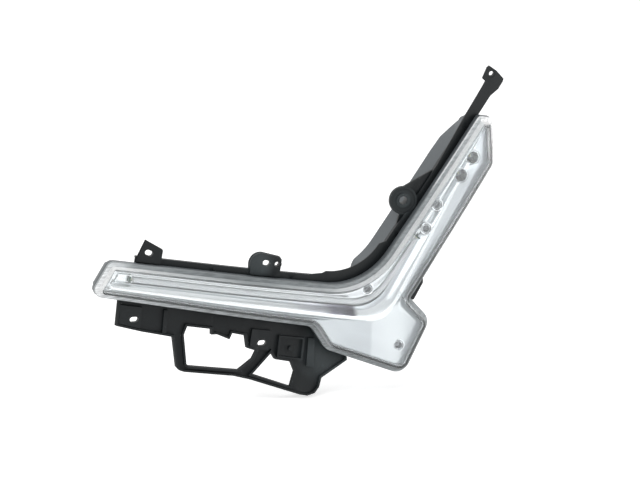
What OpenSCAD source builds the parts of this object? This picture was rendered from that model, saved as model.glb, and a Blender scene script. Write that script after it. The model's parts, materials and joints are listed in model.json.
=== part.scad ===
// Daytime running light for the right-hand corner of a car's front bumper.
// Seen from the front, X runs to the right, Z up and Y back, away from the viewer.
// Two arms meet at an elbow, and the whole lamp sweeps back around the bumper's corner.
// The origin is the middle of the main fixing hole, on the front face of its lug.
// "Along" is measured up an arm from the elbow, and "across" from the arm's inner edge.
// "Depth" is measured back from the swept surface where the lens meets the housing.

/* [Arms] */
// Length of the lower arm, from the elbow to its end
left_len = 286; // [250:1:330]
// Slope of the lower arm above the horizontal, going outwards, in degrees
left_tilt = 9.5; // [6:0.5:13]
// Width of the lower arm at its end
left_end_w = 39; // [35:0.5:43]
// Width of the lower arm at its root
left_root_w = 46; // [42:0.5:50]
// How much further the lower corner of the lower arm reaches than the upper one
left_end_slant = 16; // [8:0.5:20]
// Length of the upper arm, from the elbow to its tip
right_len = 215; // [200:1:240]
// Slope of the upper arm above the horizontal, in degrees
right_tilt = 51.5; // [48:0.5:55]
// Width of the upper arm at its root
right_root_w = 51; // [48:0.5:54]
// Width of the upper arm where its tip is cut off
right_tip_w = 46.6; // [44:0.2:50]
// Radius of the inner edge at the elbow
elbow_r = 75; // [65:1:85]

/* [Lobe below the elbow] */
// Place of the notch above the lobe, along the upper arm
notch_along = 19; // [14:1:24]
// Place of the lobe's right corner, along the upper arm
lobe_right_along = 13.5; // [9:0.5:17]
// Reach of the lobe's right corner, across the upper arm
lobe_right_w = 85; // [80:1:90]
// Place of the lobe's lowest corner, below the elbow along the upper arm
lobe_low_along = 50; // [43:1:57]
// Reach of the lobe's lowest corner, across the upper arm
lobe_low_w = 95; // [90:1:100]
// Place of the lobe's left corner, along the lower arm
lobe_left_along = 35; // [28:1:42]
// Reach of the lobe's left corner, across the lower arm
lobe_left_w = 69; // [64:1:74]
// Place where the lower arm ends and the lobe begins, along the lower arm
step_along = 56; // [50:1:64]

/* [Sweep] */
// Radius of the sweep around the bumper's corner
sweep_r = 900; // [750:10:1400]
// How far left of the main hole the sweep begins
sweep_start = 230; // [200:5:260]
// How far the main lug's face stands behind the lens joint
lug_setback = 12; // [11:0.5:14]

/* [Lens] */
// Width of the lens's foot, which lies on the housing
foot_w = 4.5; // [4:0.1:5.5]
// Thickness of the lens's foot
foot_t = 3; // [2:0.1:4]
// Wall of the lens
lens_wall = 2.4; // [2:0.1:2.8]
// Height of the lens's side walls above its joint
lens_rise = 15; // [14.5:0.5:20]
// How far the lens's face crowns beyond its edge
lens_crown = 2.6; // [1:0.1:4]
// Length of the tongue that sits in the housing's channel
tongue_len = 5; // [4:0.1:5.6]

/* [Housing] */
// Wall of the housing
housing_wall = 2.4; // [2:0.1:3]
// Depth of the channel for the sealant
channel_depth = 7; // [6.6:0.1:9]
// Depth of the housing at the end of the lower arm
depth_left = 32; // [28:1:38]
// Depth of the housing at the tip of the upper arm
depth_right = 48; // [44:1:56]
// How much shallower the housing is at the lobe's edge
lobe_shallow = 15; // [8:1:18]
// How far the upper arm's chamber bulges to the left
chamber_bulge = 16; // [6:1:18]

/* [Bright trim] */
// Gap between the lens's wall and the trim
trim_gap = 1; // [0.5:0.1:1.4]
// Wall of the trim
trim_wall = 2; // [1.5:0.1:2.4]
// How far the trim stops short of the lens's tip
trim_short = 10; // [9:0.5:15]
// Height of the trim's rim above the lens joint
trim_rim = 8.5; // [7:0.1:10]
// Height of the blade that runs along both arms
blade_rise = 10.5; // [8:0.1:11]
// Width of the light guide's groove
groove_w = 7; // [6.4:0.1:8]
// Distance of the groove from the arms' inner edge
groove_w0 = 13; // [12:0.1:14.5]
// Diameter of the light guide
guide_d = 6; // [4:0.1:6.4]
// Distance between the light guide's left end and the end of the lower arm
guide_short = 28; // [26:1:50]
// Share of the upper arm that the light guide runs along
guide_share = 0.33; // [0.28:0.01:0.34]

/* [Signal unit] */
// Number of reflector cups in the upper arm
cup_count = 2; // [2:1:3]
// Room that is left beside the screw between two cups
cup_space = 0.6; // [0.4:0.1:2]
// Distance between the highest cup and the lens's tip
cup_end = 39; // [38:0.5:42]
// Distance of the cups from the arm's inner edge
cup_w = 18.5; // [18:0.5:19.5]
// Inner diameter of a cup at its mouth
cup_d = 13; // [11:0.5:13.5]
// Wall of a cup
cup_wall = 0.9; // [0.7:0.1:1.1]

/* [Mounting frame] */
// Thickness of the frame's plates
frame_t = 2.5; // [2:0.1:3.5]
// How far the frame's rim stands out beyond the lens
frame_out = 6.5; // [6.2:0.1:8]
// Depth of the skirt behind the frame's rim
skirt_depth = 7.5; // [5:0.5:11]
// Width of the straps behind the housing
strap_w = 12; // [10:0.5:16]
// Thickness of the frame's ribs and skirt
rib_t = 2.2; // [1.6:0.1:3]
// Height of the ribs on the lower bracket
rib_h = 4.5; // [2:0.5:6]
// Diameter of the main fixing hole
main_hole_d = 9; // [7:0.5:10]
// Outer diameter of the main lug
main_lug_d = 30; // [26:1:34]
// Length of the main fixing hole
main_hole_len = 14; // [10:0.5:14]
// Place of the main lug, along the upper arm
lug_along = 96.4; // [90:0.2:102]
// Distance of the main lug from the lens's edge
lug_out = 15.5; // [14:0.5:18]
// Length of the oblong fixing holes
slot_len = 9.5; // [8:0.5:12]
// Width of the oblong fixing holes
slot_w = 6; // [5:0.5:7]
// Diameter of the round holes in the upper ear and the tip
round_hole_d = 5.5; // [4:0.5:6]
// How far the tip reaches beyond the lens
tip_over = 49; // [44:1:56]
// How much further the frame's rim stands out around the elbow
elbow_out = 5; // [3:0.5:7]

/* [Screws] */
// Diameter of the self-tapping screws
screw_d = 3.4; // [2.8:0.1:3.8]
// Diameter of the screw heads
screw_head_d = 6.6; // [5.8:0.1:7]
// Height of the screw heads
screw_head_h = 2.4; // [2:0.1:3]

/* [Electronics] */
// Length of the driver's case
driver_l = 58; // [52:1:64]
// Height of the driver's case
driver_h = 30; // [27:1:33]
// Thickness of the driver's case
driver_t = 15; // [12:0.5:18]
// Thickness of the circuit boards
board_t = 1.6; // [1:0.1:2]
// Length of the heat sink's base
sink_l = 56; // [54:1:58]
// Width of the heat sink's base
sink_w = 26; // [25:0.5:27]
// Number of fins on the heat sink
fin_count = 6; // [4:1:7]
// Height of the fins
fin_h = 13; // [8:0.5:18]

/* [Hidden] */

$fn = 48;
fit = 0.3;                  // gap between moulded pieces that lie on each other
slip = 0.05;                // gap around a shank in its hole
clear_trim = foot_w + lens_wall + trim_gap;
corner_r = 9;               // the lens's outer corners
arc_fine = 3;               // steps around each small corner
arc_elbow = 28;             // steps around the elbow, as many as the lobe has points
lower_steps = 7;            // points along the straight part of the lower arm
upper_steps = 8;            // points along the straight part of the upper arm
reach = 400;                // longer than anything that is cut by it
drawn_len = 286;            // length of the lower arm for which the frame's places are given
trim_end = right_len - trim_short;
guide_left_end = left_len - guide_short;
guide_right_end = right_len * guide_share;
cup_pitch = cup_d + 2 * cup_wall + screw_head_d + cup_space;
cup_along = right_len - cup_end - (cup_count - 1) * cup_pitch;
tip_along = right_len + tip_over;

// Plane geometry

function dir(a) = [cos(a), sin(a)];
function right_of(v) = [v.y, -v.x];
function turned(v, a) = [v.x * cos(a) - v.y * sin(a), v.x * sin(a) + v.y * cos(a)];
function mix(p, q, f) = p + (q - p) * f;
function smooth(f) = let (c = min(1, max(0, f))) c * c * (3 - 2 * c);
function flat(lists) = [for (l = lists) for (e = l) e];
function backwards(l) = [for (i = [len(l) - 1:-1:0]) l[i]];
function last(l) = l[len(l) - 1];
function between(p, q, n) = [for (i = [1:n]) mix(p, q, i / (n + 1))];
function unit(v) = v / norm(v);
// Where the line through p along u crosses the line through q along v
function meet(p, u, q, v) =
    let (c = u.x * v.y - u.y * v.x, d = q - p)
    p + u * (d.x * v.y - d.y * v.x) / c;

// Points of a rounded corner at c, between the directions in and out
function rounded(c, in, out, r, steps) =
    let (
        angle = acos(min(1, max(-1, in * out))),
        side = (in.x * out.y - in.y * out.x) < 0 ? 1 : -1,
        start = c - in * r * tan(angle / 2),
        middle = start + right_of(in) * side * r
    )
    [for (k = [0:steps]) middle + turned(-right_of(in) * side * r, -side * angle * k / steps)];

// The arms

lower_dir = dir(180 - left_tilt);
lower_across = -right_of(lower_dir);
upper_dir = dir(right_tilt);
upper_across = right_of(upper_dir);
elbow = -lug_along * upper_dir + lug_out * upper_across;
function on_lower(along, across) = elbow + along * lower_dir + across * lower_across;
function on_upper(along, across) = elbow + along * upper_dir + across * upper_across;
// A place on the frame beside the lower arm, which keeps its share of the arm's length
function on_frame(along, across) = on_lower(along * left_len / drawn_len, across);
// Width of the lower arm at a place along it
function lower_w(along) =
    mix(left_root_w, left_end_w, (along - step_along) / (left_len + left_end_slant - step_along));
// Width of the upper arm at a place along it
cut_along = right_len - 29.6;
function upper_w(along) =
    mix(right_root_w, right_tip_w, (along - notch_along) / (cut_along - notch_along));

// The sweep, and depths behind it

function bow(x) =
    let (t = max(0, x + sweep_start))
    sweep_r - sqrt(sweep_r * sweep_r - t * t);
function sweep(x) = bow(x) - bow(0) - lug_setback;
function slope(x) = asin(max(0, x + sweep_start) / sweep_r);
lamp_left = on_lower(left_len + left_end_slant, left_end_w).x;
lamp_right = on_upper(cut_along, right_tip_w).x;
function tub_depth(x) = mix(depth_left, depth_right, smooth((x - lamp_left) / (lamp_right - lamp_left)));

// The lens's outline: clockwise corners as seen from the front, with their radii

CORNERS = [
    [on_lower(left_len, 0), corner_r],
    [elbow, elbow_r],
    [on_upper(right_len, 0), corner_r / 2],
    [on_upper(right_len + 7, 14.5), corner_r / 2],
    [on_upper(cut_along, right_tip_w), 18],
    [on_upper(notch_along, right_root_w), 2],
    [on_upper(lobe_right_along, lobe_right_w), 14],
    [on_upper(-lobe_low_along, lobe_low_w), 16],
    [on_lower(lobe_left_along, lobe_left_w), 16],
    [on_lower(step_along, left_root_w), 14],
    [on_lower(left_len + left_end_slant, left_end_w), corner_r]];
function way(i) =
    unit(CORNERS[(i + 1) % len(CORNERS)][0] - CORNERS[i % len(CORNERS)][0]);
// Corner i of the outline moved inwards by inset, as a rounded corner
function corner(i, inset, steps) =
    let (
        in = way(i + len(CORNERS) - 1),
        out = way(i),
        a = right_of(in),
        b = right_of(out),
        convex = (in.x * out.y - in.y * out.x) < 0,
        r = CORNERS[i][1] + (convex ? -inset : inset)
    )
    rounded(CORNERS[i][0] + (a + b) * inset / (1 + a * b), in, out, max(r, 0.6), steps);
// The inner edge, from the end of the lower arm to the tip, moved in by inset
function inner_side(inset) =
    let (
        a = corner(0, inset, arc_fine),
        b = corner(1, inset, arc_elbow),
        c = corner(2, inset, arc_fine)
    )
    flat([a, between(last(a), b[0], lower_steps), b, between(last(b), c[0], upper_steps), c]);
// The outer edge with the lobe, point for point beside the inner one
function outer_side(inset) =
    let (
        tip = corner(3, inset, arc_fine),
        cut = corner(4, inset, 2),
        notch = corner(5, inset, arc_fine),
        lobe_r = corner(6, inset, arc_fine),
        lobe_b = corner(7, inset, arc_fine),
        lobe_l = corner(8, inset, arc_fine),
        step = corner(9, inset, arc_fine),
        end = corner(10, inset, arc_fine)
    )
    backwards(flat([tip, cut, between(last(cut), notch[0], upper_steps + 2), notch, lobe_r,
        between(last(lobe_r), lobe_b[0], 1), lobe_b, between(last(lobe_b), lobe_l[0], 3), lobe_l,
        step, between(last(step), end[0], lower_steps), end]));
// A lane along both arms: its place across each arm, its bend's radius, and its ends
function lane(across_l, across_r, r, start, end) =
    let (
        bend = meet(on_lower(0, across_l), lower_dir, on_upper(0, across_r), upper_dir),
        arc = rounded(bend, unit(bend - start), unit(end - bend), r, arc_elbow),
        near = start + unit(arc[0] - start) * corner_r
    )
    flat([[start], between(start, near, arc_fine - 1), [near], between(near, arc[0], lower_steps),
        arc, between(last(arc), end, upper_steps), [end]]);
function loop(inset) = concat(inner_side(inset), backwards(outer_side(inset)));

// Closed bodies lofted over the outline

// A ring of points from a net of rows: down the first column, along the last row and back
function border(net) =
    let (n = len(net) - 1, m = len(net[0]) - 1)
    concat([for (i = [0:n]) net[i][0]], [for (j = [1:m - 1]) net[n][j]],
        [for (i = [n:-1:0]) net[i][m]], [for (j = [m - 1:-1:1]) net[0][j]]);
// A net over the whole outline at one inset, with each row split into parts
function plain_net(inset, parts) =
    let (a = inner_side(inset), b = outer_side(inset))
    [for (i = [0:len(a) - 1]) [for (j = [0:parts]) mix(a[i], b[i], j / parts)]];
// Plane points to space, each at its depth behind the swept surface
function sunk(points, depth) = [for (p = points) [p.x, sweep(p.x) + depth, p.y]];
function sunk_net(net, depth_of) =
    [for (i = [0:len(net) - 1]) [for (j = [0:len(net[i]) - 1])
        let (p = net[i][j]) [p.x, sweep(p.x) + depth_of(i, j, p), p.y]]];

function band(from, to, count) = flat([for (k = [0:count - 1])
    let (l = (k + 1) % count)
    [[from + k, to + k, to + l], [from + k, to + l, from + l]]]);
// Place in the list of points of a net's own point, which is on its ring or inside
function net_place(i, j, n, m, ring, inside) =
    j == 0 ? ring + i
    : j == m ? ring + n + m + n - i
    : i == n ? ring + n + j
    : i == 0 ? ring + 2 * n + 2 * m - j
    : inside + (i - 1) * (m - 1) + j - 1;
function cap(n, m, ring, inside, front) = flat([for (i = [0:n - 1]) for (j = [0:m - 1])
    let (
        a = net_place(i, j, n, m, ring, inside),
        b = net_place(i + 1, j, n, m, ring, inside),
        c = net_place(i + 1, j + 1, n, m, ring, inside),
        d = net_place(i, j + 1, n, m, ring, inside)
    )
    front ? [[a, b, c], [a, c, d]] : [[a, c, b], [a, d, c]]]);
function inner_points(net) =
    [for (i = [1:len(net) - 2]) for (j = [1:len(net[0]) - 2]) net[i][j]];

// A body between a front net and a back net, with rings in between from front to back
module lofted(front, rings, back) {
    n = len(front) - 1;
    m = len(front[0]) - 1;
    all = concat([border(front)], rings, [border(back)]);
    count = len(all[0]);
    inside = count * len(all);
    spare = (n - 1) * (m - 1);
    polyhedron(
        points = concat(flat(all), inner_points(front), inner_points(back)),
        faces = concat(
            cap(n, m, 0, inside, true),
            flat([for (k = [0:len(all) - 2]) band(k * count, (k + 1) * count, count)]),
            cap(n, m, (len(all) - 1) * count, inside + spare, false)));
}

// A closed hoop whose section is given by a list of rings
module hoop(rings) {
    count = len(rings[0]);
    polyhedron(
        points = flat(rings),
        faces = flat([for (k = [0:len(rings) - 1])
            band(k * count, (k + 1) % len(rings) * count, count)]));
}

// A round bar along a path in the plane, at one depth
module bar(path, depth, r, sides) {
    n = len(path) - 1;
    rings = [for (i = [0:n])
        let (
            t = unit(path[min(n, i + 1)] - path[max(0, i - 1)]),
            side = right_of(t),
            c = path[i]
        )
        [for (k = [0:sides - 1])
            let (p = c + side * r * cos(360 * k / sides))
            [p.x, sweep(p.x) + depth + r * sin(360 * k / sides), p.y]]];
    polyhedron(
        points = flat(rings),
        faces = concat(
            flat([for (i = [0:n - 1]) band(i * sides, (i + 1) * sides, sides)]),
            [for (k = [1:sides - 2]) [0, k, k + 1]],
            [for (k = [1:sides - 2]) [n * sides, n * sides + k + 1, n * sides + k]]));
}

// Plates and posts

// Everything between two depths behind the swept surface, given as functions of x
module slab(front, back) {
    xs = [-reach, for (i = [0:24]) mix(-sweep_start, lamp_right + 40, i / 24)];
    translate([0, 0, -reach])
        linear_extrude(2 * reach)
            polygon(concat([for (x = xs) [x, sweep(x) + front(x)]],
                backwards([for (x = xs) [x, sweep(x) + back(x)]])));
}

// A plane shape given a thickness that follows the sweep
module swept(front, back) {
    intersection() {
        translate([0, reach, 0])
            rotate([90, 0, 0])
                linear_extrude(2 * reach)
                    children();
        slab(function (x) front, function (x) back);
    }
}

// A plane shape around p, straight from one depth to another
module post(p, front, back) {
    translate([p.x, sweep(p.x) + back, p.y])
        rotate([90, 0, 0])
            linear_extrude(back - front)
                children();
}

// Places children flat on a face that follows the sweep at p, with +Z to the back and +Y down
module seated(p, depth) {
    translate([p.x, sweep(p.x) + depth, p.y])
        rotate([0, 0, slope(p.x)])
            rotate([-90, 0, 0])
                children();
}

module slot_shape(l, w) {
    translate([-(l - w) / 2, 0])
        circle(d = w);
    translate([(l - w) / 2, 0])
        circle(d = w);
    square([l - w, w], center = true);
}

// A pan-head self-tapping screw along +Z, with its head above zero
module screw(l) {
    cylinder(d = screw_d, h = l);
    translate([0, 0, -screw_head_h])
        difference() {
            cylinder(d = screw_head_d, h = screw_head_h);
            translate([0, 0, -0.1])
                cross_slot();
        }
}

module cross_slot() {
    linear_extrude(screw_head_h / 2 + 0.1) {
        square([screw_head_d * 0.6, 0.9], center = true);
        square([0.9, screw_head_d * 0.6], center = true);
    }
}

// Outer lens

face_depth = -lens_rise;
module outer_lens() {
    parts = 6;
    edge = foot_w + 2.6;
    inner_edge = foot_w + lens_wall + 2.4;
    outside = plain_net(edge, parts);
    inside = plain_net(inner_edge, parts);
    function crown(j) = lens_crown * 4 * j / parts * (1 - j / parts);
    function ring(inset, depth) = sunk(border(plain_net(inset, parts)), depth);
    color([0.93, 0.95, 0.96, 0.4])
        lofted(
            sunk_net(outside, function (i, j, p) face_depth - 1.4 - crown(j)),
            [
                ring(foot_w + 1.2, face_depth),
                ring(foot_w, -foot_t),
                ring(0, -foot_t),
                ring(0, 0),
                ring(tongue_in, 0),
                ring(tongue_in, tongue_len),
                ring(tongue_in + tongue_t, tongue_len),
                ring(tongue_in + tongue_t, 0),
                ring(foot_w + lens_wall, 0),
                ring(foot_w + lens_wall + 1, face_depth + lens_wall)
            ],
            sunk_net(inside, function (i, j, p) face_depth + lens_wall - 1.4 - crown(j)));
}

// Sealant channel, shared by lens, housing and bead

channel_lip = 1.2;
channel_in = 4.8;
tongue_in = 2;
tongue_t = 2;

module lens_sealant() {
    top = tongue_len + fit;
    bottom = channel_depth - slip;
    function ring(inset, depth) = sunk(border(plain_net(inset, 6)), depth);
    color([0.12, 0.12, 0.12])
        hoop([
            ring(channel_in - slip, top),
            ring(channel_lip + slip, top),
            ring(channel_lip + slip, bottom),
            ring(channel_in - slip, bottom)]);
}

// Bright trim

// The trim's inner and outer edge; it stops short of the tip, with a straight end
trim_last = arc_fine + lower_steps + arc_elbow + upper_steps + 2;
function trim_edges(inset) =
    let (
        a = inner_side(inset),
        b = outer_side(inset),
        w = trim_end - inset
    )
    [concat([for (i = [0:trim_last - 1]) a[i]], [on_upper(w, inset)]),
        concat([for (i = [0:trim_last - 1]) b[i]],
            [meet(on_upper(w, 0), upper_across, CORNERS[4][0] + right_of(way(3)) * inset, way(3))])];
// The point between s and t that lies w across the lower arm
function across_at(s, t, w) =
    mix(s, t, (w - (s - elbow) * lower_across) / ((t - s) * lower_across));
// Lanes of the trim between its edges, with the groove's walls spread by more
function trim_lanes(more) =
    let (
        e = trim_edges(clear_trim + 1),
        s = e[0][0],
        t = e[1][0],
        u = last(e[0]),
        v = last(e[1]),
        w = groove_w0,
        x = groove_w0 + groove_w
    )
    [lane(w - 0.8 - more, w - 0.8 - more, 44, across_at(s, t, w - 0.8), mix(u, v, 0.2)),
        lane(w - more, w - more, 44, across_at(s, t, w), mix(u, v, 0.26)),
        lane(x + more, x + more, 40, across_at(s, t, x), mix(u, v, 0.5)),
        lane(x + 0.8 + more, x + 0.8 + more, 40, across_at(s, t, x + 0.8), mix(u, v, 0.6)),
        lane(left_root_w * 0.69, right_root_w * 0.72, 36, mix(s, t, 0.8), mix(u, v, 0.78)),
        lane(left_root_w * 0.74, right_root_w * 0.77, 36, mix(s, t, 0.88), mix(u, v, 0.86))];
// The trim's net: rim, slope, groove, blade and outer slope, over both arms and the lobe
function trim_net(inset, more) =
    let (e = trim_edges(inset), lanes = trim_lanes(more))
    [for (i = [0:trim_last])
        i == 0 || i == trim_last
            ? [for (f = [0, 0.2, 0.25, 0.54, 0.61, 0.8, 0.89, 0.95, 1]) mix(e[0][i], e[1][i], f)]
            : concat([e[0][i]], [for (l = lanes) l[i]], [mix(lanes[5][i], e[1][i], 0.5), e[1][i]])];
// Depth of the trim's front face at row i and column j of its net
function trim_depth(i, j, p) =
    let (
        end = min(i, trim_last - i),
        along = (p - elbow) * upper_dir,
        deep = end > 2 && along < guide_right_end + 20 ? 1.2 : -5,
        blade = mix(-5, -blade_rise, smooth((trim_end - 12 - along) / 50))
    )
    end == 0
        ? mix(-trim_rim, -6, j / 8)
        : [-trim_rim, -4.5, deep, deep, -4, blade, blade, mix(blade, -6, 0.5), -6][j];
// Depth of its back face, which leaves room for the wall at its border
function trim_back_depth(i, j, p) =
    trim_depth(i, j, p) + trim_wall + (i == 0 || i == trim_last || j == 0 || j == 8 ? 1.5 : 0);

trim_eyes = [on_lower(0, 0.4), on_upper(right_len * 0.405, 17.4), on_upper(right_len * 0.53, 13),
    on_upper(-28, 68)];
eye_d = 9;
eye_back = 4;

module bright_trim() {
    front = trim_net(clear_trim + 0.5, 0);
    back = trim_net(clear_trim + 0.5 + trim_wall, 1.4);
    function ring(inset, depth) = sunk(border(trim_net(inset, 0)), depth);
    color([0.86, 0.87, 0.88])
        difference() {
            union() {
                lofted(
                    sunk_net(front, function (i, j, p) trim_depth(i, j, p)),
                    [
                        ring(clear_trim, 2.5),
                        ring(clear_trim + trim_wall, 2.5)
                    ],
                    sunk_net(back, function (i, j, p) trim_back_depth(i, j, p)));
                for (p = trim_eyes)
                    post(p, -7, eye_back)
                        circle(d = eye_d);
            }
            for (p = trim_eyes) {
                post(p, -reach / 8, eye_back - 3)
                    circle(d = screw_head_d + 1);
                post(p, -reach / 8, reach / 8)
                    circle(d = screw_d + 2 * slip);
            }
            for (p = cup_places)
                post(p, -reach / 8, reach / 8)
                    circle(d = cup_d + 2 * cup_wall + 2 * fit);
        }
}

module trim_screws() {
    color("silver")
        for (p = trim_eyes)
            translate([p.x, sweep(p.x) + eye_back - 3, p.y])
                rotate([-90, 0, 0])
                    screw(12);
}

// Light guide and its two lamps

guide_depth = 1.2 - guide_d / 2 - fit;
function guide_path() =
    let (
        w = groove_w0 + groove_w / 2,
        start = on_lower(guide_left_end, w),
        end = on_upper(guide_right_end, w),
        bend = meet(start, unit(on_lower(0, w) - start), on_upper(0, w), upper_dir),
        arc = rounded(bend, unit(bend - start), upper_dir, 42, 16)
    )
    flat([[start], between(start, arc[0], 7), arc, between(last(arc), end, 3), [end]]);

module light_guide() {
    color([0.9, 0.93, 0.95, 0.6])
        bar(guide_path(), guide_depth, guide_d / 2, 10);
}

// A small board that stands across the groove at one end of the light guide
module guide_board(end, away) {
    p = end + away * 3;
    color([0.1, 0.25, 0.15])
        translate([p.x, sweep(p.x), p.y])
            rotate([0, -atan2(away.y, away.x), 0])
                translate([0, guide_depth - guide_d / 2, -guide_d / 2])
                    cube([board_t, guide_d - 1.4, guide_d]);
}

module guide_led(end, away) {
    p = end + away * 3;
    translate([p.x, sweep(p.x), p.y])
        rotate([0, -atan2(away.y, away.x), 0])
            translate([-1.2, guide_depth - 1.5, -1.5])
                cube([1.2, 3, 3]);
}

path_ends = let (g = guide_path()) [g[0], last(g)];
path_ways = let (g = guide_path(), n = len(g) - 1) [unit(g[0] - g[1]), unit(g[n] - g[n - 1])];

module left_guide_board() guide_board(path_ends[0], path_ways[0]);
module right_guide_board() guide_board(path_ends[1], path_ways[1]);
module guide_leds() {
    color([0.95, 0.9, 0.5])
        for (k = [0, 1])
            guide_led(path_ends[k], path_ways[k]);
}

// Signal unit: reflector cups, their board and the heat sink behind

cup_places = [for (k = [0:cup_count - 1]) on_upper(cup_along + k * cup_pitch, cup_w)];
signal_mid = on_upper(cup_along + (cup_count - 1) * cup_pitch / 2, cup_w);
cup_front = -7;
cup_back = 7;
plate_back = 8;
signal_l = (cup_count - 1) * cup_pitch + cup_d + 6;

// A bar-shaped outline along the upper arm, around the middle of the signal unit
module signal_outline(l, w) {
    translate(signal_mid)
        rotate(right_tilt)
            square([l, w], center = true);
}

module signal_reflector() {
    lamp_hole = 5.2;
    color([0.85, 0.86, 0.88])
        difference() {
            union() {
                swept(cup_back - 1, plate_back)
                    signal_outline(signal_l, cup_d + 2 * cup_wall + 4);
                intersection() {
                    for (p = cup_places)
                        post(p, cup_front, plate_back + 20)
                            circle(d = cup_d + 2 * cup_wall);
                    slab(function (x) -reach / 8, function (x) plate_back - 0.5);
                }
                intersection() {
                    for (p = board_screw_places)
                        post(p, screw_seat, plate_back + 20)
                            circle(d = screw_head_d + 0.6);
                    slab(function (x) -reach / 8, function (x) plate_back - 0.5);
                }
            }
            for (p = cup_places)
                translate([p.x, sweep(p.x), p.y])
                    rotate([-90, 0, 0])
                        rotate_extrude()
                            polygon(concat(
                                [[0, cup_front - 0.1], [cup_d / 2, cup_front - 0.1]],
                                [for (k = [0:6])
                                    let (f = k / 6)
                                    [mix(cup_d / 2, lamp_hole / 2, f),
                                        cup_front + (cup_back - cup_front) * (1 - pow(1 - f, 2))]],
                                [[lamp_hole / 2, plate_back + 2], [0, plate_back + 2]]));
            for (p = board_screw_places)
                post(p, cup_back - 20, plate_back + 20)
                    circle(d = screw_d + 2 * slip);
        }
}

board_front = plate_back + fit;
screw_seat = 4;
board_screw_places = [for (k = [0:cup_count - 2]) cup_places[k] + cup_pitch / 2 * upper_dir];

module signal_board() {
    color([0.1, 0.25, 0.15])
        difference() {
            swept(board_front, board_front + board_t)
                signal_outline(signal_l, cup_d + 2 * cup_wall + 4);
            for (p = board_screw_places)
                post(p, 0, 30)
                    circle(d = screw_d + 2 * slip);
        }
}

module signal_leds() {
    color([0.95, 0.9, 0.5])
        swept(board_front - 2.4, board_front)
            for (p = cup_places)
                translate(p)
                    square(3, center = true);
}

sink_front = board_front + board_t + fit;
module signal_board_screws() {
    color("silver")
        for (p = board_screw_places)
            translate([p.x, sweep(p.x) + screw_seat, p.y])
                rotate([-90, 0, 0])
                    screw(16);
}

sink_block_l = sink_l - 18;
sink_block_w = 14;
sink_shift = 2;             // how far the heat sink's base stands off the cups' line
sink_seat = 0.6;           // gasket under the heat sink's base
sink_base_t = 3.5;
function tub_back(p) = sweep(p.x) + tub_depth(p.x);

// The heat sink sits flat on the housing's back: the depth of its seat, behind the sweep
sink_x = [signal_mid.x - sink_l * 0.4, signal_mid.x + sink_l * 0.4];
sink_face = max(tub_depth(sink_x[0]), tub_depth(sink_x[1])) + 1.5;

sink_mid = signal_mid - sink_shift * upper_across;
module sink_outline(l, w) {
    translate(sink_mid)
        rotate(right_tilt)
            square([l, w], center = true);
}

sink_screw_places = [for (s = [-1, 1]) for (t = [-1, 1])
    sink_mid + s * (sink_l / 2 - 5) * upper_dir + t * (sink_w / 2 - 4.5) * upper_across];

module heat_sink() {
    fin_t = 1.6;
    step = (sink_w - 1 - fin_t) / (fin_count - 1);
    base_front = sink_face + sink_seat;
    color([0.75, 0.76, 0.78])
        difference() {
            union() {
                swept(base_front, base_front + sink_base_t)
                    sink_outline(sink_l, sink_w);
                swept(sink_front, base_front + 1)
                    signal_outline(sink_block_l, sink_block_w);
                swept(base_front + sink_base_t - 0.5, base_front + sink_base_t + fin_h)
                    for (k = [0:fin_count - 1])
                        translate(sink_mid)
                            rotate(right_tilt)
                                translate([-(sink_l - 20) / 2, 0.5 - sink_w / 2 + k * step])
                                    square([sink_l - 20, fin_t]);
            }
            for (p = sink_screw_places)
                post(p, sink_face - 5, base_front + sink_base_t + 5)
                    circle(d = screw_d + 2 * slip);
            for (p = board_screw_places)
                post(p, 0, board_front + board_t + 14)
                    circle(d = screw_d + 2 * slip);
        }
}

module heat_sink_gasket() {
    color([0.08, 0.08, 0.08])
        difference() {
            swept(sink_face, sink_face + sink_seat)
                difference() {
                    sink_outline(sink_l - 1, sink_w - 1);
                    signal_outline(sink_block_l + 2, sink_block_w + 2);
                }
            for (p = sink_screw_places)
                post(p, sink_face - 5, sink_face + 5)
                    circle(d = screw_d + 2 * slip);
        }
}

module heat_sink_screws() {
    head_face = sink_face + sink_seat + sink_base_t;
    color("silver")
        for (p = sink_screw_places)
            translate([p.x, sweep(p.x) + head_face + 1.2, p.y])
                rotate([90, 0, 0])
                    screw(10);
}

// Housing

function housing_bulge(along) =
    chamber_bulge * smooth((along + 8) / 26) * smooth((right_len + 12 - along) / 62);
// Rings of the housing's tub: the upper arm's inner wall bulges outwards with depth
function tub_net(inset, share, parts) =
    let (net = plain_net(inset, parts))
    [for (i = [0:len(net) - 1])
        let (
            a = net[i][0],
            b = net[i][parts],
            c = a - upper_across * share * housing_bulge((a - elbow) * upper_dir)
        )
        [for (j = [0:parts]) mix(c, b, j / parts)]];
// Depth of the tub's back at a point: shallower towards the lobe's edge
function tub_at(p) =
    let (
        below_lower = (p - elbow) * lower_across - left_root_w,
        below_upper = (p - elbow) * upper_across - right_root_w,
        out = min(max(0, below_lower), max(0, below_upper + 30))
    )
    tub_depth(p.x) - lobe_shallow * smooth(out / 34);
function sunk_to(points, more) = [for (p = points) [p.x, sweep(p.x) + tub_at(p) + more, p.y]];

shell_in = 4.2;             // how far the tub's wall stands inside the lens's outline
step_depth = 18;            // where the straight part of the tub's wall ends

vent_places = [on_lower(left_len * 0.7, 20), on_upper(right_len - 14, 12)];
vent_d = 8;
vent_bore_d = 4.4;
vent_l = 9;
driver_place = mix(on_lower(48, 23), on_lower(60, 23), 0.5);
driver_seat = tub_depth(driver_place.x) + 4;
driver_ears = [for (s = [-1, 1]) for (t = [-1, 1]) [s * (driver_l / 2 + 4), t * (driver_h / 2 - 5)]];
frame_screw_places = [on_lower(left_len * 0.6, -0.4), on_lower(left_len * 0.29, -0.4),
    on_upper(lug_along - 32.4, -0.4), on_upper(right_len - 19, -0.4)];
ear_front = 14;
ear_t = 3;

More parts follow.
